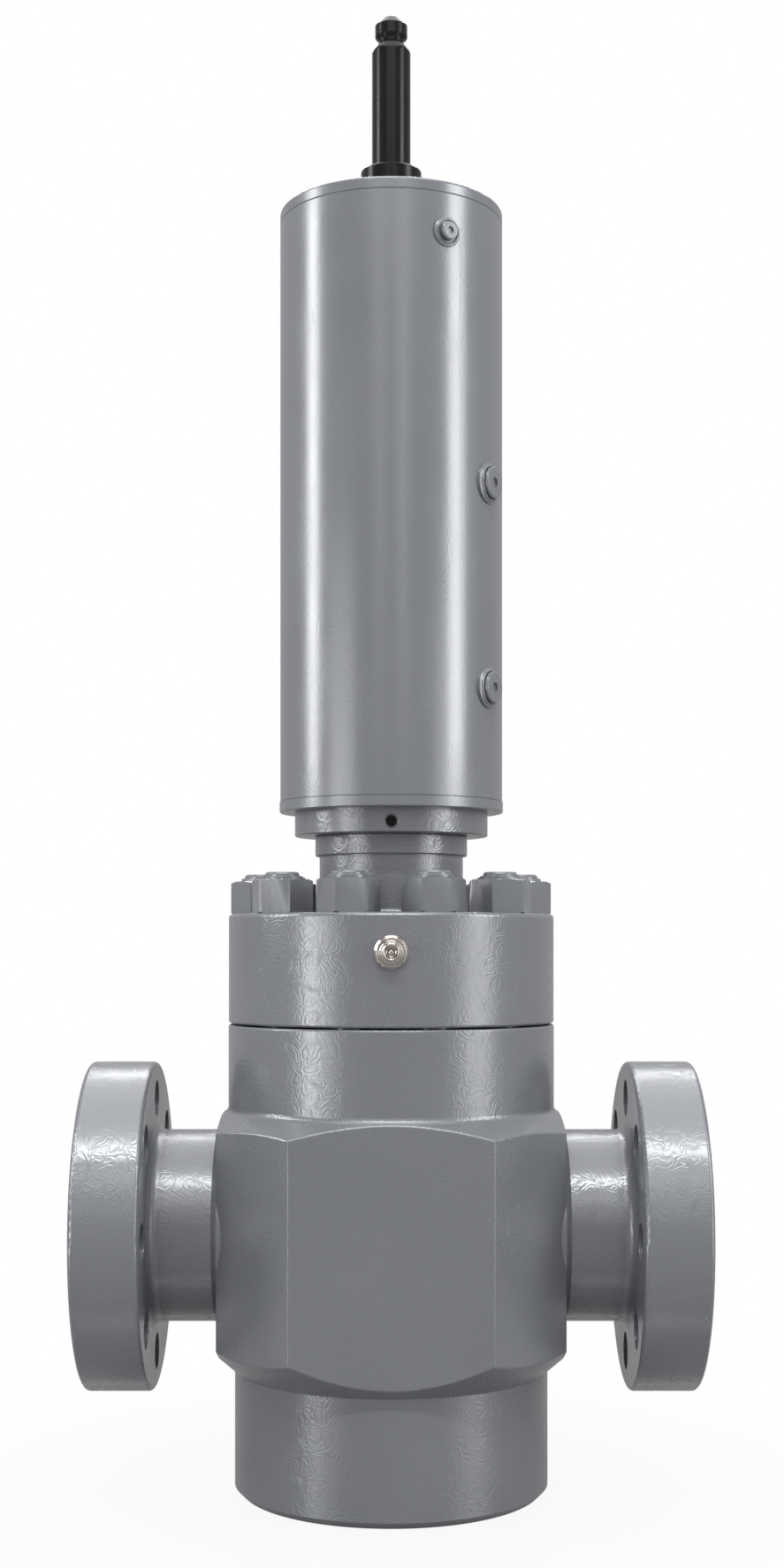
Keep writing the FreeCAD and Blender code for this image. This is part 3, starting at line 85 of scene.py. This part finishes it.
def view_from_photo():
    """A level camera in front of the valve, shifted up as the photograph is."""
    data = bpy.data.cameras.new("photo_view")
    data.sensor_fit = "VERTICAL"
    data.sensor_height = SENSOR
    data.lens = SENSOR * FOCAL / PHOTO_HEIGHT
    data.shift_y = (HORIZON - PHOTO_HEIGHT / 2) / PHOTO_HEIGHT
    camera = bpy.data.objects.new("photo_view", data)
    sideways = (PHOTO_WIDTH / 2 - AXIS_COLUMN) * CAMERA_DISTANCE / FOCAL
    camera.location = (sideways, -CAMERA_DISTANCE, CAMERA_HEIGHT)
    camera.rotation_euler = (math.radians(90), 0, 0)
    bpy.context.scene.collection.objects.link(camera)
    bpy.context.scene.camera = camera


def soft_box(name, place, target, width, height, power):
    """A soft box that faces a point and doesn't show to the camera."""
    data = bpy.data.lights.new(name, "AREA")
    data.shape = "RECTANGLE"
    data.size = width
    data.size_y = height
    data.energy = power
    lamp = bpy.data.objects.new(name, data)
    lamp.location = place
    beam = Vector(target) - Vector(place)
    lamp.rotation_euler = beam.to_track_quat("-Z", "Y").to_euler()
    lamp.visible_camera = False
    bpy.context.scene.collection.objects.link(lamp)


def strip_light(name, azimuth, distance, low, high, width, power):
    """A tall strip that faces the stem; azimuth is measured from the front, to the right."""
    turn = math.radians(azimuth)
    middle = (low + high) / 2
    place = (distance * math.sin(turn), -distance * math.cos(turn), middle)
    soft_box(name, place, (0, 0, middle), width, high - low, power)


def clear_selection():
    """Leaves no object selected."""
    bpy.ops.object.select_all(action="DESELECT")


def only(piece):
    """Selects one object and makes it the active one."""
    clear_selection()
    piece.select_set(True)
    bpy.context.view_layer.objects.active = piece


def turned(name, steps, sides=64):
    """A round piece drawn up from a disc; each step is (radius, height) in millimetres."""
    clear_selection()
    radius, height = steps[0][0] / 1000, steps[0][1] / 1000
    bpy.ops.mesh.primitive_circle_add(vertices=sides, radius=radius, fill_type="NGON",
                                      location=(0, 0, height))
    piece = bpy.context.object
    piece.name = name
    bpy.ops.object.transform_apply(location=True)
    bpy.ops.object.mode_set(mode="EDIT")
    bpy.ops.mesh.select_all(action="SELECT")
    for wide, high in steps[1:]:
        wide, high = wide / 1000, high / 1000
        rise = (0, 0, high - height)
        bpy.ops.mesh.extrude_region_move(TRANSFORM_OT_translate={"value": rise})
        if wide != radius:
            grow = wide / radius
            bpy.ops.transform.resize(value=(grow, grow, 1), center_override=(0, 0, high))
        radius, height = wide, high
    bpy.ops.mesh.select_all(action="SELECT")
    bpy.ops.mesh.normals_make_consistent(inside=False)
    bpy.ops.object.mode_set(mode="OBJECT")
    return piece


def hexagon(name, flats, low, high):
    """A six-sided bar between two heights; flats is the width across its flats, in millimetres."""
    clear_selection()
    radius = flats / 2000 / math.cos(math.pi / 6)
    bpy.ops.mesh.primitive_cylinder_add(vertices=6, radius=radius, depth=(high - low) / 1000,
                                        location=(0, 0, (low + high) / 2000))
    piece = bpy.context.object
    piece.name = name
    bpy.ops.object.transform_apply(location=True)
    return piece


def combine(piece, other, way):
    """Cuts, joins or intersects a piece with another one, which is used up."""
    only(piece)
    bpy.ops.object.modifier_add(type="BOOLEAN")
    step = piece.modifiers[-1]
    step.operation = way
    step.object = other
    step.solver = "EXACT"
    bpy.ops.object.modifier_apply(modifier=step.name)
    only(other)
    bpy.ops.object.delete()
    only(piece)


def soften(piece, width, segments=2, angle=28, smooth=32):
    """Rounds edges sharper than angle by a width in millimetres, and shades the piece smooth."""
    only(piece)
    bpy.ops.object.modifier_add(type="BEVEL")
    step = piece.modifiers[-1]
    step.width = width / 1000
    step.segments = segments
    step.limit_method = "ANGLE"
    step.angle_limit = math.radians(angle)
    step.use_clamp_overlap = True
    bpy.ops.object.modifier_apply(modifier=step.name)
    bpy.ops.object.shade_smooth_by_angle(angle=math.radians(smooth))
    bpy.ops.object.modifier_add(type="WEIGHTED_NORMAL")
    flats = piece.modifiers[-1]
    flats.keep_sharp = True
    bpy.ops.object.modifier_apply(modifier=flats.name)


def copy_of(piece, name):
    """A copy of a piece, with its own mesh."""
    only(piece)
    bpy.ops.object.duplicate(linked=False)
    made = bpy.context.object
    made.name = name
    return made


def stand(piece, azimuth, radius, turn=0.0):
    """Stands a piece beside the stem, turned on its own axis; degrees and metres."""
    angle = math.radians(azimuth)
    piece.rotation_euler = (0, 0, angle + math.radians(turn))
    piece.location = (radius * math.cos(angle), radius * math.sin(angle), 0)
    only(piece)
    bpy.ops.object.transform_apply(location=True, rotation=True)


def point_outwards(piece, azimuth, height, turn=0.0):
    """Lays an upright piece along a level line that leaves the stem's axis at a height."""
    angle = math.radians(azimuth)
    outwards = Vector((math.cos(angle), math.sin(angle), 0))
    facing = outwards.to_track_quat("Z", "Y")
    piece.rotation_euler = (facing @ Euler((0, 0, math.radians(turn))).to_quaternion()).to_euler()
    piece.location = (0, 0, height)
    only(piece)
    bpy.ops.object.transform_apply(location=True, rotation=True)


def fit_on(piece, material, slot, *stands_for):
    """Dresses a new piece, ties it to the valve and lets it stand for CAD nodes."""
    piece.data.materials.clear()
    piece.data.materials.append(material)
    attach(piece, "valve")
    if stands_for:
        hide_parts(*stands_for)


def node_of(tree, kind, **values):
    """A new shader node, with its own properties or named inputs set."""
    node = tree.nodes.new(kind)
    for name, value in values.items():
        if name in node.inputs:
            node.inputs[name].default_value = value
        else:
            setattr(node, name, value)
    return node


def ramp(tree, source, stops):
    """A colour ramp with (place, grey level) stops."""
    node = tree.nodes.new("ShaderNodeValToRGB")
    elements = node.color_ramp.elements
    for stop, (place, level) in enumerate(stops):
        element = elements[stop] if stop < 2 else elements.new(place)
        element.position = place
        element.color = (level, level, level, 1)
    tree.links.new(source, node.inputs["Fac"])
    return node


def new_group(name, inputs, outputs):
    """An empty shader node group with its sockets, given as (name, kind, value)."""
    tree = bpy.data.node_groups.new(name, "ShaderNodeTree")
    for socket, kind, value in inputs:
        made = tree.interface.new_socket(socket, in_out="INPUT", socket_type=kind)
        made.default_value = value
    for socket, kind in outputs:
        tree.interface.new_socket(socket, in_out="OUTPUT", socket_type=kind)
    start = tree.nodes.new("NodeGroupInput")
    end = tree.nodes.new("NodeGroupOutput")
    return tree, start, end


def make_combed_texture():
    """A height: whorls of fine ridges, as a stiff roller leaves in enamel, over orange peel."""
    number = "NodeSocketFloat"
    inputs = [("Whorl Scale", number, 60.0), ("Ridges", number, 60.0), ("Ridge Height", number, 0.5),
              ("Peel Scale", number, 420.0), ("Peel", number, 0.22)]
    tree, start, end = new_group("combed_enamel", inputs, [("Height", number)])
    link = tree.links.new
    place = node_of(tree, "ShaderNodeTexCoord")
    whorl = node_of(tree, "ShaderNodeTexNoise", Detail=1.2, Roughness=0.45, Distortion=0.4)
    link(place.outputs["Object"], whorl.inputs["Vector"])
    link(start.outputs["Whorl Scale"], whorl.inputs["Scale"])
    turns = node_of(tree, "ShaderNodeMath", operation="MULTIPLY")
    link(whorl.outputs["Fac"], turns.inputs[0])
    link(start.outputs["Ridges"], turns.inputs[1])
    ridges = node_of(tree, "ShaderNodeMath", operation="SINE")
    link(turns.outputs["Value"], ridges.inputs[0])
    drift = node_of(tree, "ShaderNodeTexNoise", Scale=26.0, Detail=1.0, Roughness=0.5)
    link(place.outputs["Object"], drift.inputs["Vector"])
    worked = node_of(tree, "ShaderNodeMapRange", interpolation_type="SMOOTHSTEP")
    worked.inputs["From Min"].default_value = 0.3
    worked.inputs["From Max"].default_value = 0.7
    worked.inputs["To Min"].default_value = 0.55
    link(drift.outputs["Fac"], worked.inputs["Value"])
    lift = node_of(tree, "ShaderNodeMath", operation="MULTIPLY")
    link(worked.outputs["Result"], lift.inputs[0])
    link(start.outputs["Ridge Height"], lift.inputs[1])
    combed = node_of(tree, "ShaderNodeMath", operation="MULTIPLY")
    link(ridges.outputs["Value"], combed.inputs[0])
    link(lift.outputs["Value"], combed.inputs[1])
    peel = node_of(tree, "ShaderNodeTexNoise", Detail=2.0, Roughness=0.55)
    link(place.outputs["Object"], peel.inputs["Vector"])
    link(start.outputs["Peel Scale"], peel.inputs["Scale"])
    total = node_of(tree, "ShaderNodeMath", operation="MULTIPLY_ADD")
    link(peel.outputs["Fac"], total.inputs[0])
    link(start.outputs["Peel"], total.inputs[1])
    link(combed.outputs["Value"], total.inputs[2])
    link(total.outputs["Value"], end.inputs["Height"])
    return tree


def make_tone_texture():
    """Soft clouds that lighten and darken a colour a little."""
    number, shade = "NodeSocketFloat", "NodeSocketColor"
    inputs = [("Color", shade, (0.2, 0.2, 0.2, 1)), ("Scale", number, 9.0), ("Amount", number, 0.1)]
    tree, start, end = new_group("clouded_tone", inputs, [("Color", shade), ("Fac", number)])
    link = tree.links.new
    place = node_of(tree, "ShaderNodeTexCoord")
    cloud = node_of(tree, "ShaderNodeTexNoise", Detail=5.0, Roughness=0.6)
    link(place.outputs["Object"], cloud.inputs["Vector"])
    link(start.outputs["Scale"], cloud.inputs["Scale"])
    centred = node_of(tree, "ShaderNodeMath", operation="SUBTRACT")
    link(cloud.outputs["Fac"], centred.inputs[0])
    centred.inputs[1].default_value = 0.5
    scaled = node_of(tree, "ShaderNodeMath", operation="MULTIPLY_ADD")
    link(centred.outputs["Value"], scaled.inputs[0])
    link(start.outputs["Amount"], scaled.inputs[1])
    scaled.inputs[2].default_value = 1.0
    tinted = node_of(tree, "ShaderNodeVectorMath", operation="SCALE")
    link(start.outputs["Color"], tinted.inputs["Vector"])
    link(scaled.outputs["Value"], tinted.inputs["Scale"])
    link(tinted.outputs["Vector"], end.inputs["Color"])
    link(cloud.outputs["Fac"], end.inputs["Fac"])
    return tree


def clouded_metal(name, colour, metallic, specular, gloss, clouds, surface, relief):
    """A material clouded in tone and gloss, with a combed surface.

    gloss is the lowest and the highest roughness; clouds and surface are values for the two
    shared textures, and relief is how strongly the surface stands out.
    """
    material = bpy.data.materials.new(name)
    material.use_nodes = True
    tree = material.node_tree
    link = tree.links.new
    shader = tree.nodes["Principled BSDF"]
    shader.inputs["Metallic"].default_value = metallic
    shader.inputs["Specular IOR Level"].default_value = specular
    tone = node_of(tree, "ShaderNodeGroup", node_tree=TONE, Color=(*colour, 1), **clouds)
    link(tone.outputs["Color"], shader.inputs["Base Color"])
    roughness = ramp(tree, tone.outputs["Fac"], [(0.3, gloss[0]), (0.7, gloss[1])])
    link(roughness.outputs["Color"], shader.inputs["Roughness"])
    combed = node_of(tree, "ShaderNodeGroup", node_tree=COMBED, **surface)
    bump = node_of(tree, "ShaderNodeBump", Strength=relief, Distance=BUMP_DEPTH)
    link(combed.outputs["Height"], bump.inputs["Height"])
    link(bump.outputs["Normal"], shader.inputs["Normal"])
    return material


def painted_steel(name, colour, roughness, relief, whorl_scale=60.0, ridges=60.0, ridge_height=0.5):
    """Satin enamel over steel."""
    clouds = {"Scale": 9.0, "Amount": 0.14}
    surface = {"Whorl Scale": whorl_scale, "Ridges": ridges, "Ridge Height": ridge_height}
    gloss = (roughness - 0.03, roughness + 0.04)
    return clouded_metal(name, colour, 0.2, 0.8, gloss, clouds, surface, relief)


def bare_metal(name, colour, roughness, metallic=1.0, relief=0.02, specular=0.5):
    """Turned or plated metal with a fine clouded gloss."""
    clouds = {"Scale": 40.0, "Amount": 0.2}
    surface = {"Ridge Height": 0.0, "Peel Scale": 900.0}
    gloss = (max(roughness - 0.04, 0.02), roughness + 0.04)
    return clouded_metal(name, colour, metallic, specular, gloss, clouds, surface, relief)


def dress(material, *names):
    """Gives CAD nodes a material."""
    for name in names:
        mesh = nodes[name].data
        mesh.materials.clear()
        mesh.materials.append(material)


COMBED = make_combed_texture()
TONE = make_tone_texture()
GREY = (0.165, 0.172, 0.187)
BODY_PAINT = painted_steel("body_paint", GREY, 0.26, 0.32, 62.0, 58.0, 0.38)
NUT_PAINT = painted_steel("nut_paint", GREY, 0.22, 0.3, 90.0, 40.0, 0.1)
BARREL_PAINT = painted_steel("barrel_paint", GREY, 0.25, 0.26, 62.0, 58.0, 0.14)
BLACK = bare_metal("black_oxide", (0.006, 0.0059, 0.0058), 0.24, 0.0, 0.0, 0.2)
NICKEL = bare_metal("nickel_plate", (0.47, 0.43, 0.4), 0.16)
STEEL = bare_metal("machined_steel", (0.5, 0.51, 0.53), 0.3)
RUBBER = bare_metal("seal_rubber", (0.02, 0.02, 0.02), 0.6, 0.0)
BRONZE = bare_metal("bearing_bronze", (0.6, 0.38, 0.18), 0.35)
SPRING = painted_steel("spring_enamel", (0.04, 0.04, 0.045), 0.4, 0.1)

dress(BODY_PAINT, "valve_body", "bonnet", "lock_ring", "actuator_adapter")
dress(BARREL_PAINT, "lower_head", "spring_housing", "top_cap")
dress(BLACK, "shaft_gland", "top_shaft", "adapter_set_screws")
dress(NICKEL, "grease_check_ball")
dress(STEEL, "seat_inlet", "seat_outlet", "gate_guides", "gate", "stem", "bonnet_seal_ring",
      "packing_gland", "stop_tube", "lower_spring_seat", "stem_coupling", "piston_rod", "piston",
      "adapter_screws")
dress(RUBBER, "seat_seals", "stem_packing", "lower_head_seal", "top_cap_seal", "piston_seals",
      "shaft_seal")
dress(BRONZE, "shaft_bushing", "piston_wear_ring")
dress(SPRING, "return_spring")


def round_the_bonnet(first, turns):
    """A piece and its copies, one on each stud's place, each turned on its own axis."""
    name = first.name.removesuffix("_1")
    pieces = [first] + [copy_of(first, f"{name}_{number}") for number in range(2, STUD_COUNT + 1)]
    for place, (piece, turn) in enumerate(zip(pieces, turns)):
        stand(piece, 360 / STUD_COUNT * place, STUD_REACH, turn)
        fit_on(piece, NUT_PAINT, "grey_paint")


def make_bonnet_nuts():
    """Ten heavy hex nuts, chamfered at both ends, each stopped at its own turn."""
    across_flats = 50.8
    foot, shoulder = level("bonnet_nuts", 0), level("bonnet_nuts", 1)
    crown = shoulder + 3.0
    blank = hexagon("bonnet_nut_1", across_flats, foot, crown)
    profile = [(27.4, foot - 1), (27.4, foot), (30.2, foot + 1.5), (30.2, shoulder - 2.3),
               (25.2, shoulder), (18.9, shoulder), (18.9, crown - 0.6), (18.2, crown),
               (18.2, crown + 1)]
    combine(blank, turned("nut_ends", profile, 96), "INTERSECT")
    bore = [(16.0, foot - 7), (16.0, crown - 0.8), (16.9, crown + 0.1), (16.9, crown + 2)]
    combine(blank, turned("nut_hole", bore, 48), "DIFFERENCE")
    soften(blank, 0.7, 3, 16, 24)
    round_the_bonnet(blank, (12.0, 31.0, -9.0, 24.0, 3.0, -17.0, 41.0, 25.8, -10.2, 19.0))
    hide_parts("bonnet_nuts")


def make_bonnet_studs():
    """Ten stud bolts whose threads show above their nuts."""
    outer, root, pitch = 15.87, 15.2, 3.175
    foot, top = level("bonnet_studs", 0), level("bonnet_studs", 1)
    thread = top - 22.6
    steps = [(13.4, foot), (outer, foot + 2.5), (outer, thread)]
    while thread + pitch < top - 2.6:
        steps += [(root, thread + 0.45 * pitch), (root, thread + 0.55 * pitch),
                  (outer, thread + 0.95 * pitch), (outer, thread + pitch)]
        thread += pitch
    steps += [(outer, top - 2), (14.4, top), (13.0, top), (3.0, top)]
    stud = turned("bonnet_stud_1", steps, 56)
    soften(stud, 0.3, 2, 24, 30)
    round_the_bonnet(stud, [0.0] * STUD_COUNT)
    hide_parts("bonnet_studs")


def make_port(name, height, azimuth, boss_steps, plug_steps, flats, socket_floor):
    """A stepped boss in the barrel's wall and the socket-head plug that closes it."""
    outside, socket_turn = 120, 14
    boss = turned(f"{name}_boss", boss_steps, 96)
    soften(boss, 0.35, 3, 20, 30)
    point_outwards(boss, azimuth, height)
    fit_on(boss, BARREL_PAINT, "grey_paint")
    plug = turned(f"{name}_plug", plug_steps, 96)
    combine(plug, hexagon("socket", flats, socket_floor, outside), "DIFFERENCE")
    soften(plug, 0.3, 2, 20, 30)
    point_outwards(plug, azimuth, height, socket_turn)
    fit_on(plug, BARREL_PAINT, "grey_paint")
    return boss, plug


def make_ports():
    """Two pressure ports and a small vent, high on the barrel."""
    wall = reach("spring_housing")
    # All of these lie within the barrel's wall, so that the bore stays clear
    boss_foot, hole_foot, plug_foot = 94.2, 94.9, 96.0
    boss = [(19.0, boss_foot), (19.0, wall + 1.4), (17.6, wall + 2.3), (16.9, wall + 2.3),
            (16.9, wall + 3.1), (16.0, wall + 4.0), (15.3, wall + 4.0), (15.0, wall + 2.6),
            (9.1, wall + 2.6), (9.1, hole_foot)]
    plug = [(9.0, plug_foot), (9.0, wall + 2.7), (12.4, wall + 2.7), (12.4, wall + 3.9),
            (14.5, wall + 4.3), (14.5, wall + 6.3), (13.4, wall + 7.4), (8.6, wall + 7.4)]
    small_boss = [(13.35, boss_foot), (13.35, wall + 0.9), (12.3, wall + 1.7), (11.5, wall + 1.7),
                  (11.5, wall + 2.3), (10.8, wall + 3.0), (10.2, wall + 3.0), (9.9, wall + 1.7),
                  (5.1, wall + 1.7), (5.1, hole_foot)]
    small_plug = [(5.0, plug_foot), (5.0, wall + 1.8), (7.0, wall + 1.8), (7.0, wall + 3.0),
                  (8.2, wall + 3.3), (8.2, wall + 6.0), (7.3, wall + 6.9), (5.6, wall + 6.9)]
    vent_azimuth, port_azimuth = -61.5, -31.5
    vent_height, lower_height, upper_height = middle_height("vent_plug"), 0.7566, 0.9464
    vent_socket, port_socket = (6.0, wall + 5.1), (9.0, wall + 5.2)
    vent_boss, vent_plug = make_port("vent", vent_height, vent_azimuth, small_boss, small_plug,
                                     *vent_socket)
    _, lower_plug = make_port("lower_port", lower_height, port_azimuth, boss, plug, *port_socket)
    make_port("upper_port", upper_height, port_azimuth, boss, plug, *port_socket)
    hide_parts("port_bosses")
    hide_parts("vent_plug")
    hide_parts("port_plugs")


def make_grease_fitting():
    """A plated button-head fitting with a stepped nose and an open mouth over its check ball."""
    seat = reach("bonnet")
    steps = [(10.0, seat - 26), (10.0, seat - 0.4), (14.3, seat - 0.4), (15.15, seat + 0.4),
             (15.15, seat + 2.6), (12.9, seat + 4.9), (12.2, seat + 5.0), (12.0, seat + 4.4),
             (10.9, seat + 4.4), (10.5, seat + 4.9), (10.5, seat + 8.2), (9.7, seat + 9.0),
             (8.7, seat + 9.0), (8.25, seat + 9.3), (8.25, seat + 11.9), (7.2, seat + 13.0),
             (6.4, seat + 13.0), (5.8, seat + 12.6), (4.6, seat + 9.9), (3.5, seat + 9.5),
             (4.55, seat + 9.2), (4.55, seat - 6.5), (2.5, seat - 6.5), (2.5, seat - 25)]
    fitting = turned("grease_button", steps, 96)
    soften(fitting, 0.25, 3, 20, 32)
    point_outwards(fitting, -90, middle_height("grease_fitting"))
    fit_on(fitting, NICKEL, "nickel_plate", "grease_fitting")


def wind_return_spring():
    """The return spring, ground flat at both ends; it moves with the stem train."""
    low, high = level("return_spring", 0) / 1000, level("return_spring", 1) / 1000
    coil, wire, turns, stroke = 0.073, 0.01, 9, 0.115
    clear_selection()
    bpy.ops.mesh.primitive_circle_add(vertices=20, radius=wire, location=(coil, 0, low),
                                      rotation=(math.pi / 2, 0, 0))
    spring = bpy.context.object
    spring.name = "wound_return_spring"
    bpy.ops.object.transform_apply(location=True, rotation=True)
    bpy.ops.object.modifier_add(type="SCREW")
    winding = spring.modifiers[-1]
    winding.angle = math.tau
    winding.iterations = turns
    winding.screw_offset = (high - low) / turns
    winding.steps = winding.render_steps = 48
    bpy.ops.object.modifier_apply(modifier=winding.name)
    bpy.ops.object.mode_set(mode="EDIT")
    bpy.ops.mesh.select_all(action="SELECT")
    bpy.ops.mesh.fill_holes(sides=0)
    for end, cut in ((low, {"clear_inner": True}), (high, {"clear_outer": True})):
        bpy.ops.mesh.select_all(action="SELECT")
        bpy.ops.mesh.bisect(plane_co=(0, 0, end), plane_no=(0, 0, 1), use_fill=True, **cut)
    bpy.ops.mesh.select_all(action="SELECT")
    bpy.ops.mesh.normals_make_consistent(inside=False)
    bpy.ops.object.mode_set(mode="OBJECT")
    bpy.ops.object.shade_smooth_by_angle(angle=math.radians(35))
    spring.data.materials.clear()
    spring.data.materials.append(SPRING)
    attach(spring, "stem_train")
    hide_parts("return_spring")
    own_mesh(spring)


def lay_floor():
    """A pale floor that shows white, with a soft shadow beside the valve."""
    shadow_near, shadow_far, shadow_white = 0.15, 0.6, 0.93
    clear_selection()
    bpy.ops.mesh.primitive_plane_add(size=24, location=(0, 0, 0))
    floor = bpy.context.object
    floor.name = "studio_floor"
    material = bpy.data.materials.new("white_floor")
    material.use_nodes = True
    tree = material.node_tree
    link = tree.links.new
    shader = tree.nodes["Principled BSDF"]
    shader.inputs["Base Color"].default_value = (0.2, 0.2, 0.2, 1)
    shader.inputs["Roughness"].default_value = 0.12
    shader.inputs["Specular IOR Level"].default_value = 1.0
    glow = node_of(tree, "ShaderNodeEmission", Color=(1, 1, 1, 1), Strength=1.0)
    lifted = node_of(tree, "ShaderNodeMixShader")
    place = node_of(tree, "ShaderNodeTexCoord")
    away = node_of(tree, "ShaderNodeVectorMath", operation="LENGTH")
    fade = node_of(tree, "ShaderNodeMapRange")
    fade.inputs["From Min"].default_value = shadow_near
    fade.inputs["From Max"].default_value = shadow_far
    fade.inputs["To Min"].default_value = shadow_white
    fade.inputs["To Max"].default_value = 1.0
    seen = node_of(tree, "ShaderNodeMath", operation="MULTIPLY")
    link(place.outputs["Object"], away.inputs[0])
    link(away.outputs["Value"], fade.inputs["Value"])
    link(fade.outputs["Result"], seen.inputs[0])
    link(white_share(tree), seen.inputs[1])
    link(seen.outputs["Value"], lifted.inputs["Fac"])
    link(shader.outputs["BSDF"], lifted.inputs[1])
    link(glow.outputs["Emission"], lifted.inputs[2])
    link(lifted.outputs["Shader"], tree.nodes["Material Output"].inputs["Surface"])
    floor.data.materials.append(material)


def white_share(tree):
    """All of the white for what the camera sees, some of it for what metal reflects."""
    path = node_of(tree, "ShaderNodeLightPath")
    mirrored = node_of(tree, "ShaderNodeMath", operation="MAXIMUM")
    tree.links.new(path.outputs["Is Glossy Ray"], mirrored.inputs[0])
    tree.links.new(path.outputs["Is Transmission Ray"], mirrored.inputs[1])
    part = node_of(tree, "ShaderNodeMath", operation="MULTIPLY")
    tree.links.new(mirrored.outputs["Value"], part.inputs[0])
    part.inputs[1].default_value = MIRRORED_WHITE
    share = node_of(tree, "ShaderNodeMath", operation="MAXIMUM")
    tree.links.new(path.outputs["Is Camera Ray"], share.inputs[0])
    tree.links.new(part.outputs["Value"], share.inputs[1])
    return share.outputs["Value"]


def light_studio():
    """Strips at both sides, split at the actuator's foot, boxes overhead and a plain pale room."""
    foot, top = 0.66, 2.1
    upper = foot + 0.08
    strip_light("left_upper", -85, 1.6, upper, top, 0.36, 17)
    strip_light("right_upper", 68, 1.6, upper, top, 0.5, 17)
    strip_light("left_lower", -55, 1.7, 0.0, foot, 0.22, 3.0)
    strip_light("right_lower", 60, 1.7, 0.0, foot, 0.6, 2.9)
    soft_box("left_fill", (-2.2, -1.8, 0.5), (0, 0, 0.4), 1.3, 1.6, 16)
    soft_box("right_fill", (2.4, -1.5, 0.5), (0, 0, 0.4), 1.3, 1.6, 9)
    # Two narrow strips across the sky give the hubs and rims their bright lines
    flow_line = (0, 0, 0.25)
    soft_box("key_strip", (0, -3.1, 5.4), flow_line, 3.5, 0.12, 170)
    soft_box("back_strip", (0, 4.2, 4.3), flow_line, 3.5, 0.2, 70)
    soft_box("overhead", (0, 0.7, 4.7), (0, 0.7, 0.25), 3.5, 6.2, 130)
    soft_box("front_fill", (0, -4.6, 4.0), (0, 0, 0.5), 4.5, 1.2, 40)
    soft_box("front_left", (-0.95, -4.6, 2.2), (-0.2, 0, 0.3), 0.8, 1.8, 4)
    soft_box("front_right", (0.95, -4.6, 2.2), (0.2, 0, 0.3), 0.8, 1.8, 6)
    world = bpy.data.worlds.new("studio")
    bpy.context.scene.world = world
    world.use_nodes = True
    tree = world.node_tree
    link = tree.links.new
    room = tree.nodes["Background"]
    room.inputs["Color"].default_value = (1, 1, 1, 1)
    room.inputs["Strength"].default_value = 0.32
    white = node_of(tree, "ShaderNodeBackground", Color=(1, 1, 1, 1), Strength=1.0)
    choose = node_of(tree, "ShaderNodeMixShader")
    link(white_share(tree), choose.inputs["Fac"])
    link(room.outputs["Background"], choose.inputs[1])
    link(white.outputs["Background"], choose.inputs[2])
    link(choose.outputs["Shader"], tree.nodes["World Output"].inputs["Surface"])


bpy.context.scene.view_settings.view_transform = "Standard"
make_bonnet_nuts()
make_bonnet_studs()
make_ports()
make_grease_fitting()
wind_return_spring()
view_from_photo()
lay_floor()
light_studio()
